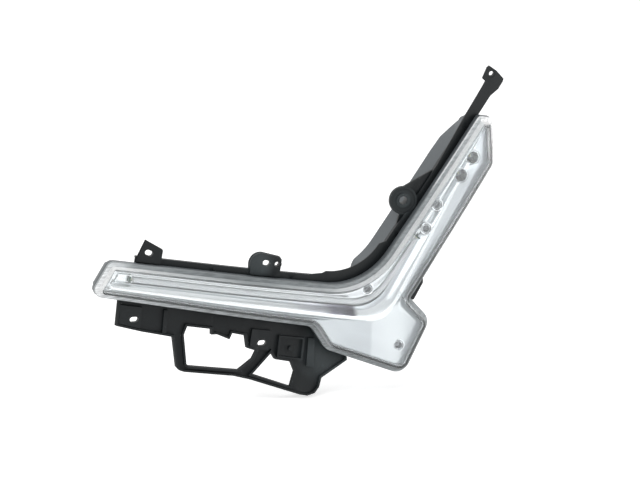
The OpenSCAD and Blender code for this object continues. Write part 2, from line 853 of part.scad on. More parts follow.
module housing() {
    parts = 6;
    function ring(inset, depth) = sunk(border(plain_net(inset, parts)), depth);
    color([0.3, 0.31, 0.32])
        difference() {
            union() {
                lofted(
                    sunk_net(tub_net(shell_in + housing_wall + 2.6, 1, parts),
                        function (i, j, p) tub_at(p) - housing_wall),
                    [
                        ring(shell_in + housing_wall + 0.2, step_depth + 1),
                        ring(shell_in + housing_wall, 1),
                        ring(channel_in, 1),
                        ring(channel_in, channel_depth),
                        ring(channel_lip, channel_depth),
                        ring(channel_lip, fit),
                        ring(0, fit),
                        ring(0, channel_depth + 2),
                        ring(shell_in, channel_depth + 2),
                        ring(shell_in + 0.2, step_depth)
                    ],
                    sunk_net(tub_net(shell_in + 2.8, 1, parts), function (i, j, p) tub_at(p)));
                housing_posts();
            }
            housing_holes();
        }
}

module housing_posts() {
    for (p = trim_eyes)
        post(p, eye_back, tub_at(p) - housing_wall / 2)
            circle(d = screw_d + 4.6);
    for (p = vent_places)
        post(p, tub_at(p) - housing_wall / 2, tub_at(p) + vent_l)
            circle(d = vent_d);
    for (p = sink_screw_places)
        post(p, tub_at(p) - housing_wall - 8, tub_at(p) - 0.4)
            circle(d = screw_d + 4);
    swept_pad();
    seated(driver_place, driver_seat)
        for (e = driver_ears)
            translate([e.x, e.y, -8])
                cylinder(d = 7.5, h = 8);
    for (p = frame_screw_places)
        post(p, ear_front, ear_front + ear_t)
            screw_ear(p);
}

// The flat land that the heat sink's gasket lies on
module swept_pad() {
    intersection() {
        translate([0, reach, 0])
            rotate([90, 0, 0])
                linear_extrude(2 * reach)
                    sink_outline(sink_l + 2, sink_w + 2);
        slab(function (x) tub_depth(x) - housing_wall / 2, function (x) sink_face);
    }
}

// An ear from the tub's wall out to a frame screw at the origin
module screw_ear(p) {
    upper = (p - elbow) * upper_dir > 40;
    circle(d = screw_d + 3.6);
    rotate(upper ? right_tilt - 90 : 90 - left_tilt)
        translate([upper ? 0 : -8, -screw_d / 2 - 1.8])
            square([8, screw_d + 3.6]);
}

module housing_holes() {
    for (p = trim_eyes)
        post(p, eye_back - 1, eye_back + 12)
            circle(d = screw_d + 2 * slip);
    for (p = vent_places)
        post(p, tub_at(p) - 10, tub_at(p) + 20)
            circle(d = vent_bore_d);
    for (p = sink_screw_places)
        post(p, sink_face - 9, sink_face + 5)
            circle(d = screw_d + 2 * slip);
    for (p = frame_screw_places)
        post(p, ear_front - 5, ear_front + 10)
            circle(d = screw_d + 2 * slip);
    translate([0, reach, 0])
        rotate([90, 0, 0])
            linear_extrude(2 * reach)
                signal_outline(sink_block_l + 1, sink_block_w + 1);
    seated(driver_place, driver_seat)
        for (e = driver_ears)
            translate([e.x, e.y, -6])
                cylinder(d = screw_d + 2 * slip, h = 8);
}

module vent_cap(p) {
    color([0.07, 0.07, 0.07])
        translate([p.x, sweep(p.x) + tub_at(p), p.y])
            rotate([-90, 0, 0])
                difference() {
                    translate([0, 0, 3.6])
                        cylinder(d = vent_d + 5, h = vent_l);
                    cylinder(d = vent_d + 2 * slip, h = vent_l + fit);
                    for (a = [0:60:300])
                        rotate(a)
                            translate([vent_d / 2 + 1.6, -0.9, 0])
                                cube([3, 1.8, vent_l - 1]);
                }
}

module left_vent_cap() vent_cap(vent_places[0]);
module right_vent_cap() vent_cap(vent_places[1]);

// Driver

driver_wall = 2;
socket_l = 20;
socket_w = 15;
socket_h = 11;

module driver_plate(l, h) {
    offset(r = 3)
        square([l - 6, h - 6], center = true);
}

module driver_case() {
    color([0.13, 0.13, 0.14])
        seated(driver_place, driver_seat)
            difference() {
                union() {
                    linear_extrude(driver_t)
                        driver_plate(driver_l, driver_h);
                    for (e = driver_ears)
                        translate([e.x, e.y, 0])
                            linear_extrude(3) {
                                circle(d = 9);
                                translate([e.x > 0 ? -8 : 0, -4.5])
                                    square([8, 9]);
                            }
                    translate([0, driver_h / 2 - 1, driver_t / 2])
                        rotate([-90, 0, 0])
                            linear_extrude(socket_l + 1)
                                square([socket_w + 4, socket_h], center = true);
                }
                translate([0, 0, driver_wall])
                    linear_extrude(driver_t)
                        driver_plate(driver_l - 2 * driver_wall, driver_h - 2 * driver_wall);
                translate([0, driver_h / 2 + 4, driver_t / 2])
                    rotate([-90, 0, 0])
                        linear_extrude(socket_l + 1)
                            square([socket_w, socket_h - 4], center = true);
                for (e = driver_ears)
                    translate([e.x, e.y, -1])
                        cylinder(d = screw_d + 2 * slip, h = 5);
            }
}

module driver_gasket() {
    color([0.08, 0.08, 0.08])
        seated(driver_place, driver_seat)
            translate([0, 0, driver_t])
                linear_extrude(0.8)
                    difference() {
                        driver_plate(driver_l - 0.4, driver_h - 0.4);
                        driver_plate(driver_l - 2 * driver_wall + 0.4, driver_h - 2 * driver_wall + 0.4);
                    }
}

module driver_cover() {
    color([0.72, 0.73, 0.75])
        seated(driver_place, driver_seat)
            translate([0, 0, driver_t + 0.8]) {
                linear_extrude(1.8)
                    driver_plate(driver_l, driver_h);
                for (k = [-3:3])
                    translate([k * 7 - 1, -driver_h / 2 + 4, 1.5])
                        cube([2, driver_h - 8, 2]);
            }
}

module driver_screws() {
    color("silver")
        seated(driver_place, driver_seat)
            for (e = driver_ears)
                translate([e.x, e.y, 3])
                    rotate([180, 0, 0])
                        screw(8.5);
}

module connector_pins() {
    color([0.8, 0.68, 0.3])
        seated(driver_place, driver_seat)
            for (k = [-1.5:1:1.5])
                translate([k * 3.2 - 0.5, driver_h / 2 + 4, driver_t / 2 - 0.5])
                    cube([1, 8, 1]);
}

// Mounting frame

plate_front = channel_depth + 2 + fit + 0.2;
plate_back_d = plate_front + frame_t;
skirt_back = plate_front + skirt_depth;

// A strip beside both arms, between two places across and two places along them
module strip(across0, across1, left, right) {
    function edge(w) =
        let (k = meet(on_lower(0, w), lower_dir, on_upper(0, w), upper_dir))
        rounded(k, -lower_dir, upper_dir, elbow_r + w, 16);
    polygon(concat([on_lower(left, across0)], edge(across0), [on_upper(right, across0)],
        [on_upper(right, across1)], backwards(edge(across1)), [on_lower(left, across1)]));
}

left_ear_along = left_len * 0.895;
bar_end = tip_along - 14;

module rim_shape() {
    strip(-frame_out, shell_in - 0.8, left_ear_along, right_len - 6);
    elbow_web();
    polygon([on_upper(right_len * 0.62, -frame_out + 1), on_upper(right_len - 8, -frame_out - 4),
        on_upper(bar_end - 5, -frame_out - 5.4), on_upper(bar_end - 5, 2.6),
        on_upper(right_len - 10, 2.4), on_upper(right_len * 0.62, 1)]);
    outer_rail();
}

// A narrow rail behind the lens's edge, from the outer ear round the tip to the rim
module outer_rail() {
    far = right_len + 20;
    intersection() {
        polygon(loop(0.5));
        polygon([on_upper(24, 20), on_upper(right_len - 30, 20), on_upper(right_len - 30, -5),
            on_upper(far, -5), on_upper(far, 80), on_upper(24, 80)]);
    }
}

// The rim's broader part around the elbow
module elbow_web() {
    w = -frame_out - elbow_out;
    k = meet(on_lower(0, w), lower_dir, on_upper(0, w), upper_dir);
    arc = rounded(k, -lower_dir, upper_dir, elbow_r + w, 16);
    polygon(concat([on_lower(70, 1), on_lower(70, -frame_out + 1), on_lower(48, w + 2.4)], arc,
        [on_upper(45, w), on_upper(53, -frame_out + 1), on_upper(53, 1), elbow]));
}

left_slot = on_frame(243, -12);
module left_ear_shape() {
    polygon([on_frame(256, 0), on_frame(248, -25), on_frame(228, -17), on_frame(228, 0)]);
}

upper_slot = on_frame(114, -15);
upper_round = on_frame(102, -15);
module upper_ear_shape() {
    hull() {
        translate(on_frame(120, -13))
            circle(r = 12.5);
        translate(on_frame(101, -19))
            circle(r = 4);
        translate(on_frame(100, -3))
            circle(r = 3);
        translate(on_frame(128, -3))
            circle(r = 3);
    }
}

tip_hole = on_upper(tip_along - 5.4, -11.4);
module tip_shape() {
    polygon([on_upper(bar_end - 16, -frame_out - 4.6), on_upper(bar_end - 1.6, -12.4),
        on_upper(bar_end - 1.2, -17.5), on_upper(tip_along - 3, -19.8),
        on_upper(tip_along, -18.6), on_upper(tip_along + 0.4, -7.7),
        on_upper(tip_along - 1.8, 5.2), on_upper(tip_along - 5, 6.3), on_upper(bar_end, 6.4),
        on_upper(bar_end - 10, 2.8), on_upper(bar_end - 16, 2.2)]);
}

// The web that joins the main lug to the frame's rim
module web_shape() {
    lug_r = main_lug_d / 2;
    polygon([
        lug_r * 0.9 * dir(120),
        on_upper(lug_along + 46, -frame_out + 1),
        on_upper(lug_along + 46, 2),
        on_upper(lug_along - 26, 2),
        on_upper(lug_along - 26, -frame_out + 1),
        lug_r * 0.9 * dir(250)]);
}

lower_left_slot = on_frame(247.5, 60);
lower_right_slot = on_frame(105, 70);
bracket_bottom = 109;
function under(along) = lower_w(along) - 3;

module bracket_shape() {
    difference() {
        polygon([on_frame(268, under(268)), on_frame(266, 69), on_frame(238, 72),
            on_frame(203, 74), on_frame(194, bracket_bottom - 4),
            on_frame(190, bracket_bottom - 0.5), on_frame(185, bracket_bottom + 0.5),
            on_frame(131, bracket_bottom - 1), on_frame(112, bracket_bottom + 1),
            on_frame(54, bracket_bottom + 12), on_frame(45, bracket_bottom + 12.5),
            on_frame(37, bracket_bottom + 9), on_frame(33, bracket_bottom + 2),
            on_frame(32, bracket_bottom - 8), on_frame(6, 80), on_frame(10, 60),
            on_frame(48, under(step_along))]);
        polygon([on_frame(189, 61), on_frame(191, 70), on_frame(183, bracket_bottom - 8),
            on_frame(180, bracket_bottom - 6.5), on_frame(126, bracket_bottom - 8),
            on_frame(113, 88), on_frame(110, 79), on_frame(121, 77), on_frame(125, 64),
            on_frame(139, 63), on_frame(141, 70), on_frame(156, 66), on_frame(162, 67),
            on_frame(163, 61)]);
        polygon([on_frame(93, 80), on_frame(88, 86), on_frame(70, 87), on_frame(64, 97),
            on_frame(66, bracket_bottom + 4), on_frame(110, bracket_bottom - 5)]);
    }
}

// What stands forward of the bracket's plate: pads around its slots, a post and a pocket
module bracket_ribs() {
    polygon([on_frame(265, 46), on_frame(240.5, 46), on_frame(239.5, 68.6), on_frame(263, 66)]);
    polygon([on_frame(217, 46), on_frame(212.5, 46), on_frame(210.5, 70.5), on_frame(215, 70.5)]);
    polygon([on_frame(118, 56), on_frame(97, 56), on_frame(96.5, 77), on_frame(109, 77),
        on_frame(118, 74.5)]);
    polygon([on_frame(54, 60), on_frame(46.5, 60), on_frame(43, 90), on_frame(51.5, 90)]);
    difference() {
        polygon([on_frame(87, 60), on_frame(58, 60), on_frame(57, 84.5), on_frame(86, 83.5)]);
        polygon([on_frame(85, 62), on_frame(60, 62), on_frame(59, 82.5), on_frame(84, 81.6)]);
    }
    translate(on_frame(72, 73))
        circle(r = 2.6);
}

module outer_ear_shape() {
    polygon([on_upper(18, right_root_w - 8), on_upper(46, right_root_w - 8),
        on_upper(46, right_root_w + 2), on_upper(40, right_root_w + 7),
        on_upper(20, right_root_w + 9), on_upper(18, right_root_w + 7)]);
}

// Thin walls along the edge of a plane shape
module edge_of() {
    difference() {
        children();
        offset(delta = -rib_t)
            children();
    }
}

module straps() {
    for (a = [left_len * 0.765, left_len * 0.483])
        strap(on_lower(a, 0.3), on_lower(a, lower_w(a) + frame_out - 1));
}

// A strap round the housing's back, between a point above it and one below
module strap(above, below) {
    l = norm(below - above);
    a = atan2(below.y - above.y, below.x - above.x);
    deep = function (x) tub_depth(x) + 0.8;
    deeper = function (x) tub_depth(x) + 0.8 + frame_t;
    intersection() {
        translate([above.x, reach, above.y])
            rotate([90, 0, 0])
                rotate(a)
                    translate([0, -strap_w / 2])
                        linear_extrude(2 * reach)
                            square([l, strap_w]);
        slab(deep, deeper);
    }
    intersection() {
        translate([above.x, reach, above.y])
            rotate([90, 0, 0])
                rotate(a)
                    linear_extrude(2 * reach)
                        for (u = [0.1, l - rib_t - 0.1])
                            translate([u, -strap_w / 2 + 0.3])
                                square([rib_t, strap_w - 0.6]);
        slab(function (x) plate_front + 0.5, function (x) tub_depth(x) + 0.5 + frame_t);
    }
}

module mounting_frame() {
    color([0.1, 0.1, 0.11])
        difference() {
            union() {
                swept(plate_front, plate_back_d)
                    difference() {
                        union() {
                            rim_shape();
                            left_ear_shape();
                            upper_ear_shape();
                            tip_shape();
                            bracket_shape();
                            outer_ear_shape();
                        }
                        polygon(loop(shell_in - 0.8));
                    }
                swept(plate_front + 1, skirt_back)
                    strip(-frame_out + 0.2, -frame_out + rib_t + 0.2, left_ear_along - 1, bar_end - 1);
                swept(plate_front - rib_h, plate_front + 0.5)
                    difference() {
                        union() {
                            edge_of()
                                offset(delta = -0.3)
                                    bracket_shape();
                            bracket_ribs();
                            offset(delta = -0.5) {
                                left_ear_shape();
                                upper_ear_shape();
                            }
                        }
                        polygon(loop(-1.3));
                    }
                main_lug();
                frame_bosses();
                straps();
            }
            fixing_holes();
        }
}

module main_lug() {
    swept(lug_setback + 1, lug_setback + 5)
        difference() {
            web_shape();
            polygon(loop(shell_in - 0.8));
        }
    post([0, 0], lug_setback, lug_setback + 5)
        circle(d = main_lug_d);
    post([0, 0], lug_setback, lug_setback + main_hole_len)
        circle(d = main_hole_d + 6);
}

module frame_bosses() {
    post(tip_hole, plate_front - 1, plate_front + 5)
        circle(d = round_hole_d + 4);
    post(upper_round, plate_front - rib_h - 0.5, plate_front + 4)
        circle(d = round_hole_d + 4);
    for (p = frame_screw_places)
        post(p, plate_front + 1, ear_front)
            circle(d = 8);
}

module fixing_holes() {
    post([0, 0], -reach / 4, reach / 4)
        circle(d = main_hole_d);
    post([0, 0], -reach / 4, lug_setback + 2)
        difference() {
            circle(d = main_lug_d - 2 * rib_t);
            circle(d = main_hole_d + 6.5);
        }
    post(left_slot, -reach / 8, reach / 8)
        rotate(-25)
            slot_shape(slot_len, slot_w);
    post(upper_slot, -reach / 8, reach / 8)
        rotate(-18)
            slot_shape(slot_len - 1, slot_w);
    post(upper_round, -reach / 8, reach / 8)
        circle(d = round_hole_d);
    post(tip_hole, -reach / 8, reach / 8)
        circle(d = round_hole_d);
    for (p = [lower_left_slot, lower_right_slot])
        post(p, -reach / 8, reach / 8)
            slot_shape(slot_len, slot_w);
    for (p = frame_screw_places)
        post(p, plate_front - 1, ear_front + 1)
            circle(d = screw_d + 2 * slip);
}

module frame_screws() {
    color("silver")
        for (p = frame_screw_places)
            translate([p.x, sweep(p.x) + ear_front + ear_t, p.y])
                rotate([90, 0, 0])
                    screw(7);
}

outer_lens();
lens_sealant();
bright_trim();
light_guide();
left_guide_board();
right_guide_board();
guide_leds();
signal_reflector();
signal_board();
signal_leds();
signal_board_screws();
housing();
heat_sink();
heat_sink_gasket();
heat_sink_screws();
driver_case();
driver_cover();
driver_gasket();
driver_screws();
connector_pins();
left_vent_cap();
right_vent_cap();
trim_screws();
mounting_frame();
frame_screws();
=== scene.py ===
import json
import math

import bmesh
import bpy
from bpy.props import FloatProperty, FloatVectorProperty, IntProperty, PointerProperty
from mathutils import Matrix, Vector


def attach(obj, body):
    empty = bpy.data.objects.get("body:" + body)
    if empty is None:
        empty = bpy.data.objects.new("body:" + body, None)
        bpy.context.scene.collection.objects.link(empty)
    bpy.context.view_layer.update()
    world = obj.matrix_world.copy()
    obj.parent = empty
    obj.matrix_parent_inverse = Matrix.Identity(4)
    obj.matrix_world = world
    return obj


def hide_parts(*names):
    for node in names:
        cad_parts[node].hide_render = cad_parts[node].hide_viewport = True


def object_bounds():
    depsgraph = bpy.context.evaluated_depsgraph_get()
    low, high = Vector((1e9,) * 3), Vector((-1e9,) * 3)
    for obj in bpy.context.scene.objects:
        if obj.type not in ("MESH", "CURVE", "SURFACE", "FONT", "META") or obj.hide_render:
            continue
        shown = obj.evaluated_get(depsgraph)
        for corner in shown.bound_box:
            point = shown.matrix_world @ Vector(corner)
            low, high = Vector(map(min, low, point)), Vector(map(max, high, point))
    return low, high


bl_info = {
    "name": "Daytime Running Light",
    "version": (1, 0, 0),
    "blender": (4, 5, 0),
    "location": "3D View > Sidebar > Running Light",
    "description": "Dresses the packed corner lamp: lens, bright trim, light guide, signal cups and moulded plastics",
    "category": "Object",
}

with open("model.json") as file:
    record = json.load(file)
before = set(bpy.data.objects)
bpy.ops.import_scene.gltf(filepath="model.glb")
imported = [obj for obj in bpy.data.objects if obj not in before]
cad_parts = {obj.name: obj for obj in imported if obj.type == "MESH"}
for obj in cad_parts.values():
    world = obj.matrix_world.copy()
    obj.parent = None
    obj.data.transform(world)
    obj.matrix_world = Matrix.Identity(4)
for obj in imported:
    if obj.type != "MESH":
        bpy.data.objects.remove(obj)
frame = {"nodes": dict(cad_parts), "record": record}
CAD_LOW, CAD_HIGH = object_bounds()
NODES = frame["nodes"]
MM = 0.001


# Colours and node trees

def linear(hex_colour):
    """Turns an sRGB hex colour into Blender's linear one."""
    channels = [int(hex_colour[i:i + 2], 16) / 255 for i in (1, 3, 5)]
    return tuple(c / 12.92 if c <= 0.04045 else ((c + 0.055) / 1.055) ** 2.4 for c in channels) + (1.0,)


def add(tree, kind, links=None, **settings):
    """Adds a node with its settings, and links its inputs from {input: output socket}."""
    made = tree.nodes.new(kind)
    for name, value in settings.items():
        if name.startswith("in_"):
            made.inputs[name[3:].replace("_", " ")].default_value = value
        else:
            setattr(made, name, value)
    for name, output in (links or {}).items():
        tree.links.new(output, made.inputs[name])
    return made


# Sizes and colours that a user would change

def size(name, description, millimetres, low, high):
    """A length property, kept in metres."""
    return FloatProperty(name=name, description=description, default=millimetres * MM,
                         min=low * MM, max=high * MM, unit="LENGTH", precision=4)


def colour(name, description, hex_colour):
    """A colour property, given as an sRGB hex value."""
    return FloatVectorProperty(name=name, description=description, default=linear(hex_colour),
                               size=4, min=0, max=1, subtype="COLOR")


class LampSizes(bpy.types.PropertyGroup):
    """Sizes of the pieces that this file makes; the frame's own sizes stay in the part's source."""
    lens_foot: size("Lens foot", "Width of the lens's foot on the housing", 4.5, 4, 5.5)
    lens_wall: size("Lens wall", "Wall of the lens", 2.4, 2, 2.8)
    lens_rise: size("Lens rise", "Height of the lens's side walls", 15, 14.5, 20)
    lens_crown: size("Lens crown", "How far the lens's face crowns", 2.6, 1, 4)
    trim_gap: size("Trim gap", "Gap between the lens's wall and the trim", 0.6, 0.5, 1.4)
    trim_rim: size("Trim rim", "Height of the trim's rim", 8.5, 7, 10)
    blade_rise: size("Blade rise", "Height of the blade along both arms", 10.5, 8, 11)
    groove_place: size("Groove place", "Distance of the groove from the inner edge", 13, 12, 14.5)
    groove_width: size("Groove width", "Width of the light guide's groove", 7, 6.4, 8)
    guide_diameter: size("Guide diameter", "Diameter of the light guide", 6, 4, 6.4)
    cup_diameter: size("Cup diameter", "Inner diameter of a signal cup", 13, 11, 13.5)
    cup_spacing: size("Cup spacing", "Distance between the signal cups", 22, 20, 24)
    cup_count: IntProperty(name="Cups", description="Number of signal cups", default=2, min=2, max=3)
    edge_softness: size("Edge softness", "Rounding of the moulded edges", 0.5, 0.1, 1)


class LampColours(bpy.types.PropertyGroup):
    """Colours of the lamp's finishes."""
    frame_dark: colour("Frame", "Colour of the frame's polypropylene", "#0e1214")
    frame_light: colour("Frame, paler patches", "Colour of the frame's paler patches", "#14191b")
    # the next colour paints sheen: paler patches that stand for light falling on the main lug, the lower bracket and
    # the upper ear
    frame_painted_sheen: colour("Frame, painted sheen", "Colour of the frame's painted sheen", "#343a3c")
    housing_dark: colour("Housing", "Colour of the housing's polypropylene", "#585d60")
    housing_light: colour("Housing, paler patches", "Colour of the housing's paler patches", "#676c6f")
    lens: colour("Lens", "Tint of the clear polycarbonate", "#fafcfd")


def mm(value):
    """A length property in millimetres."""
    return value / MM


# Plan of the lamp, in millimetres and degrees, from the same figures as the part's source

# Lower arm: its length, its tilt, its width at the end and at the elbow, and how far its outer corner runs on
LEFT_LEN, LEFT_TILT, LEFT_END_W, LEFT_ROOT_W, LEFT_SLANT = 286, 9.5, 39, 46, 16
# Upper arm: its length, its tilt, its width at the elbow and at the tip, and where the tip's cut begins
RIGHT_LEN, RIGHT_TILT, RIGHT_ROOT_W, RIGHT_TIP_W = 215, 51.5, 51, 46.6
CUT_ALONG = RIGHT_LEN - 29.6
# Radius of the inner edge at the elbow
ELBOW_R = 75
# The main lug's place along the upper arm and out from its edge, and how far it lies behind the lens's foot
LUG_ALONG, LUG_OUT, LUG_SETBACK = 96.4, 15.5, 12
# Radius of the arc on which the lamp runs back, and how far left of the lug it starts
SWEEP_R, SWEEP_START = 900, 230
# Depths behind the lens's joint with the housing: the trim's face, the groove's floor and the trim's seat
TRIM_FACE, GROOVE_FLOOR, TRIM_JOINT = -5, 1.2, 2.5
# Ends of the blade and of the light guide
BLADE_END = RIGHT_LEN - 22
GUIDE_LEFT_END, GUIDE_RIGHT_END = LEFT_LEN - 28, RIGHT_LEN * 0.33
# Signal cups: their place across the arm, the first one's distance from the tip, and the bowls' front and back
CUP_W, CUP_END = 18.5, 39
CUP_FRONT, CUP_BACK = -7, 7


def direction(degrees):
    """A unit vector of the plan."""
    return Vector((math.cos(math.radians(degrees)), math.sin(math.radians(degrees))))


def right_of(v):
    """A plan vector turned a quarter to the right."""
    return Vector((v.y, -v.x))


def turned(v, degrees):
    """A plan vector turned to the left."""
    c, s = math.cos(math.radians(degrees)), math.sin(math.radians(degrees))
    return Vector((v.x * c - v.y * s, v.x * s + v.y * c))


def smooth(f):
    """A step from 0 to 1 that is level at both ends."""
    f = min(1.0, max(0.0, f))
    return f * f * (3 - 2 * f)


def between(p, q, n):
    """The n points that part the way from p to q evenly."""
    return [p.lerp(q, i / (n + 1)) for i in range(1, n + 1)]


def meet(p, u, q, v):
    """Where the line through p along u crosses the line through q along v."""
    d = q - p
    return p + u * (d.x * v.y - d.y * v.x) / (u.x * v.y - u.y * v.x)


LOWER_DIR = direction(180 - LEFT_TILT)
LOWER_ACROSS = -right_of(LOWER_DIR)
UPPER_DIR = direction(RIGHT_TILT)
UPPER_ACROSS = right_of(UPPER_DIR)
ELBOW = UPPER_DIR * -LUG_ALONG + UPPER_ACROSS * LUG_OUT


def on_lower(along, across):
    """A plan point by its distances along and across the lower arm, from the elbow."""
    return ELBOW + LOWER_DIR * along + LOWER_ACROSS * across


def on_upper(along, across):
    """A plan point by its distances along and across the upper arm, from the elbow."""
    return ELBOW + UPPER_DIR * along + UPPER_ACROSS * across


def bow(x):
    """How far the arc lies behind its start."""
    t = max(0.0, x + SWEEP_START)
    return SWEEP_R - math.sqrt(SWEEP_R * SWEEP_R - t * t)


def sweep(x):
    """Place of the lens's joint in depth, counted backwards from the lug's face."""
    return bow(x) - bow(0) - LUG_SETBACK


# Corners of the outline and their radii, clockwise from the lower arm's end
CORNERS = [
    (on_lower(LEFT_LEN, 0), 9), (ELBOW, ELBOW_R), (on_upper(RIGHT_LEN, 0), 4.5),
    (on_upper(RIGHT_LEN + 7, 14.5), 4.5), (on_upper(CUT_ALONG, RIGHT_TIP_W), 18),
    (on_upper(19, RIGHT_ROOT_W), 2), (on_upper(13.5, 85), 14), (on_upper(-50, 95), 16),
    (on_lower(35, 69), 16), (on_lower(56, LEFT_ROOT_W), 14), (on_lower(LEFT_LEN + LEFT_SLANT, LEFT_END_W), 9)]

# The trim's screws: at the elbow, two in the upper arm, and in the lobe
TRIM_EYES = [on_lower(0, 0.4), on_upper(RIGHT_LEN * 0.405, 17.4), on_upper(RIGHT_LEN * 0.53, 13), on_upper(-28, 68)]

# Steps around small corners, around the tip's cut, along the lobe's two sides and along the straight parts; the
# elbow's steps make up for what the outer edge has more, so that both edges match point for point
FINE, CUT, LOBE_A, LOBE_B = 8, 6, 12, 14
ELBOW_STEPS = 5 * FINE + CUT + LOBE_A + LOBE_B + 7
LOWER_STEPS, UPPER_STEPS = 20, 12


def way(i):
    """The direction from corner i to the next one."""
    return (CORNERS[(i + 1) % len(CORNERS)][0] - CORNERS[i % len(CORNERS)][0]).normalized()


def rounded(c, into, out, r, steps):
    """Points of a rounded corner at c, between the directions in and out."""
    angle = math.degrees(math.acos(min(1, max(-1, into.dot(out)))))
    side = 1 if into.x * out.y - into.y * out.x < 0 else -1
    start = c - into * r * math.tan(math.radians(angle / 2))
    middle = start + right_of(into) * side * r
    return [middle + turned(right_of(into) * -side * r, -side * angle * k / steps) for k in range(steps + 1)]


def corner(i, inset, steps):
    """Corner i of the outline, moved inwards by inset."""
    into, out = way(i - 1), way(i)
    a, b = right_of(into), right_of(out)
    convex = into.x * out.y - into.y * out.x < 0
    r = CORNERS[i][1] + (-inset if convex else inset)
    return rounded(CORNERS[i][0] + (a + b) * inset / (1 + a.dot(b)), into, out, max(r, 0.6), steps)


def inner_side(inset):
    """The inner edge from the lower arm's end to the tip, moved in by inset."""
    a, b, c = corner(0, inset, FINE), corner(1, inset, ELBOW_STEPS), corner(2, inset, FINE)
    return a + between(a[-1], b[0], LOWER_STEPS) + b + between(b[-1], c[0], UPPER_STEPS) + c


def outer_side(inset):
    """The outer edge with the lobe, point for point beside the inner one."""
    tip, cut, notch = corner(3, inset, FINE), corner(4, inset, CUT), corner(5, inset, FINE)
    lobe_r, lobe_b, lobe_l = (corner(i, inset, FINE) for i in (6, 7, 8))
    step, end = corner(9, inset, FINE), corner(10, inset, FINE)
    points = tip + cut + between(cut[-1], notch[0], UPPER_STEPS + 2) + notch + lobe_r
    points += between(lobe_r[-1], lobe_b[0], LOBE_A) + lobe_b + between(lobe_b[-1], lobe_l[0], LOBE_B) + lobe_l
    points += step + between(step[-1], end[0], LOWER_STEPS) + end
    return points[::-1]


def plain_net(inset, parts):
    """Rows of points from the inner edge to the outer one."""
    return [[p.lerp(q, j / parts) for j in range(parts + 1)] for p, q in zip(inner_side(inset), outer_side(inset))]


def border(net):
    """A ring of points from a net of rows."""
    n, m = len(net) - 1, len(net[0]) - 1
    return ([net[i][0] for i in range(n + 1)] + [net[n][j] for j in range(1, m)]
            + [net[i][m] for i in range(n, -1, -1)] + [net[0][j] for j in range(m - 1, 0, -1)])


def sunk(p, depth):
    """A plan point put into space, at its depth behind the lens's joint, in millimetres."""
    return Vector((p.x, sweep(p.x) + depth, p.y))


# Meshes

def new_piece(name, mesh_data, finishes, replaced, sharp):
    """Makes a piece of bmesh data, with its finishes, that rides on the lamp and stands for CAD nodes.

    Edges that bend by more than sharp degrees stay crisp.
    """
    mesh = bpy.data.meshes.new(name)
    bmesh.ops.scale(mesh_data, vec=(MM, MM, MM), verts=mesh_data.verts)
    bmesh.ops.recalc_face_normals(mesh_data, faces=mesh_data.faces)
    mesh_data.to_mesh(mesh)
    mesh_data.free()
    if not mesh.polygons:
        raise RuntimeError(f"{name} has no faces")
    piece = bpy.data.objects.new(name, mesh)
    bpy.context.scene.collection.objects.link(piece)
    for material in finishes:
        mesh.materials.append(material)
    mesh.polygons.foreach_set("use_smooth", [True] * len(mesh.polygons))
    mesh.set_sharp_from_angle(angle=math.radians(sharp))
    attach(piece, "root")
    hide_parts(*replaced)
    return piece


def grid(bm, rows, finish_at=lambda j: 0, keep=None):
    """Faces over rows of points, with a finish for each column; keep says which of them stay."""
    verts = [[bm.verts.new(p) for p in row] for row in rows]
    for i in range(len(rows) - 1):
        for j in range(len(rows[0]) - 1):
            corners = (verts[i][j], verts[i + 1][j], verts[i + 1][j + 1], verts[i][j + 1])
            if keep is None or keep(sum((v.co for v in corners), Vector()) / 4):
                bm.faces.new(corners).material_index = finish_at(j)


def rings(bm, loops, finish_at):
    """Closed bands between rings that have the same number of points; finish_at takes the band and the place."""
    verts = [[bm.verts.new(p) for p in loop] for loop in loops]
    for k in range(len(loops) - 1):
        count = len(loops[k])
        for i in range(count):
            j = (i + 1) % count
            face = bm.faces.new((verts[k][i], verts[k][j], verts[k + 1][j], verts[k + 1][i]))
            face.material_index = finish_at(k, i)
    return verts


def revolved(bm, centre, profile, steps=48, finish_at=lambda k: 0, wave=0.0, flutes=0):
    """A body of revolution, from (radius, depth) pairs, whose axis runs straight back through a plan point.

    Its radius waves by that share, once for each flute.
    """
    loops = []
    for r, depth in profile:
        loop = []
        for k in range(steps):
            a = 2 * math.pi * k / steps
            reach = r * (1 + wave * math.cos(flutes * a))
            p = Vector((centre.x + reach * math.cos(a), centre.y + reach * math.sin(a)))
            loop.append(Vector((p.x, sweep(centre.x) + depth, p.y)))
        loops.append(loop)
    rings(bm, loops, lambda k, i: finish_at(k))


# Materials

def new_material(name):
    """An empty node material with its output, its shader and object coordinates."""
    material = bpy.data.materials.new(name)
    material.use_nodes = True
    tree = material.node_tree
    tree.nodes.clear()
    output = tree.nodes.new("ShaderNodeOutputMaterial")
    shader = tree.nodes.new("ShaderNodeBsdfPrincipled")
    tree.links.new(shader.outputs["BSDF"], output.inputs["Surface"])
    place = tree.nodes.new("ShaderNodeTexCoord")
    return material, tree, shader, place.outputs["Object"]


def moulded_grain(tree, shader, place, grain_mm, depth, dark, light, patches=18.0):
    """Fine spark-eroded grain of a moulding, with slow changes of shade between two colours, so many to the metre."""
    grain = add(tree, "ShaderNodeTexNoise", {"Vector": place}, in_Scale=1000 / grain_mm, in_Detail=3.0)
    bump = add(tree, "ShaderNodeBump", {"Height": grain.outputs["Fac"]}, in_Strength=depth, in_Distance=0.0002)
    tree.links.new(bump.outputs["Normal"], shader.inputs["Normal"])
    slow = add(tree, "ShaderNodeTexNoise", {"Vector": place}, in_Scale=patches, in_Detail=2.0)
    shade = add(tree, "ShaderNodeMix", {"Factor": slow.outputs["Fac"]}, data_type="RGBA")
    shade.inputs["A"].default_value = dark
    shade.inputs["B"].default_value = light
    tree.links.new(shade.outputs["Result"], shader.inputs["Base Color"])
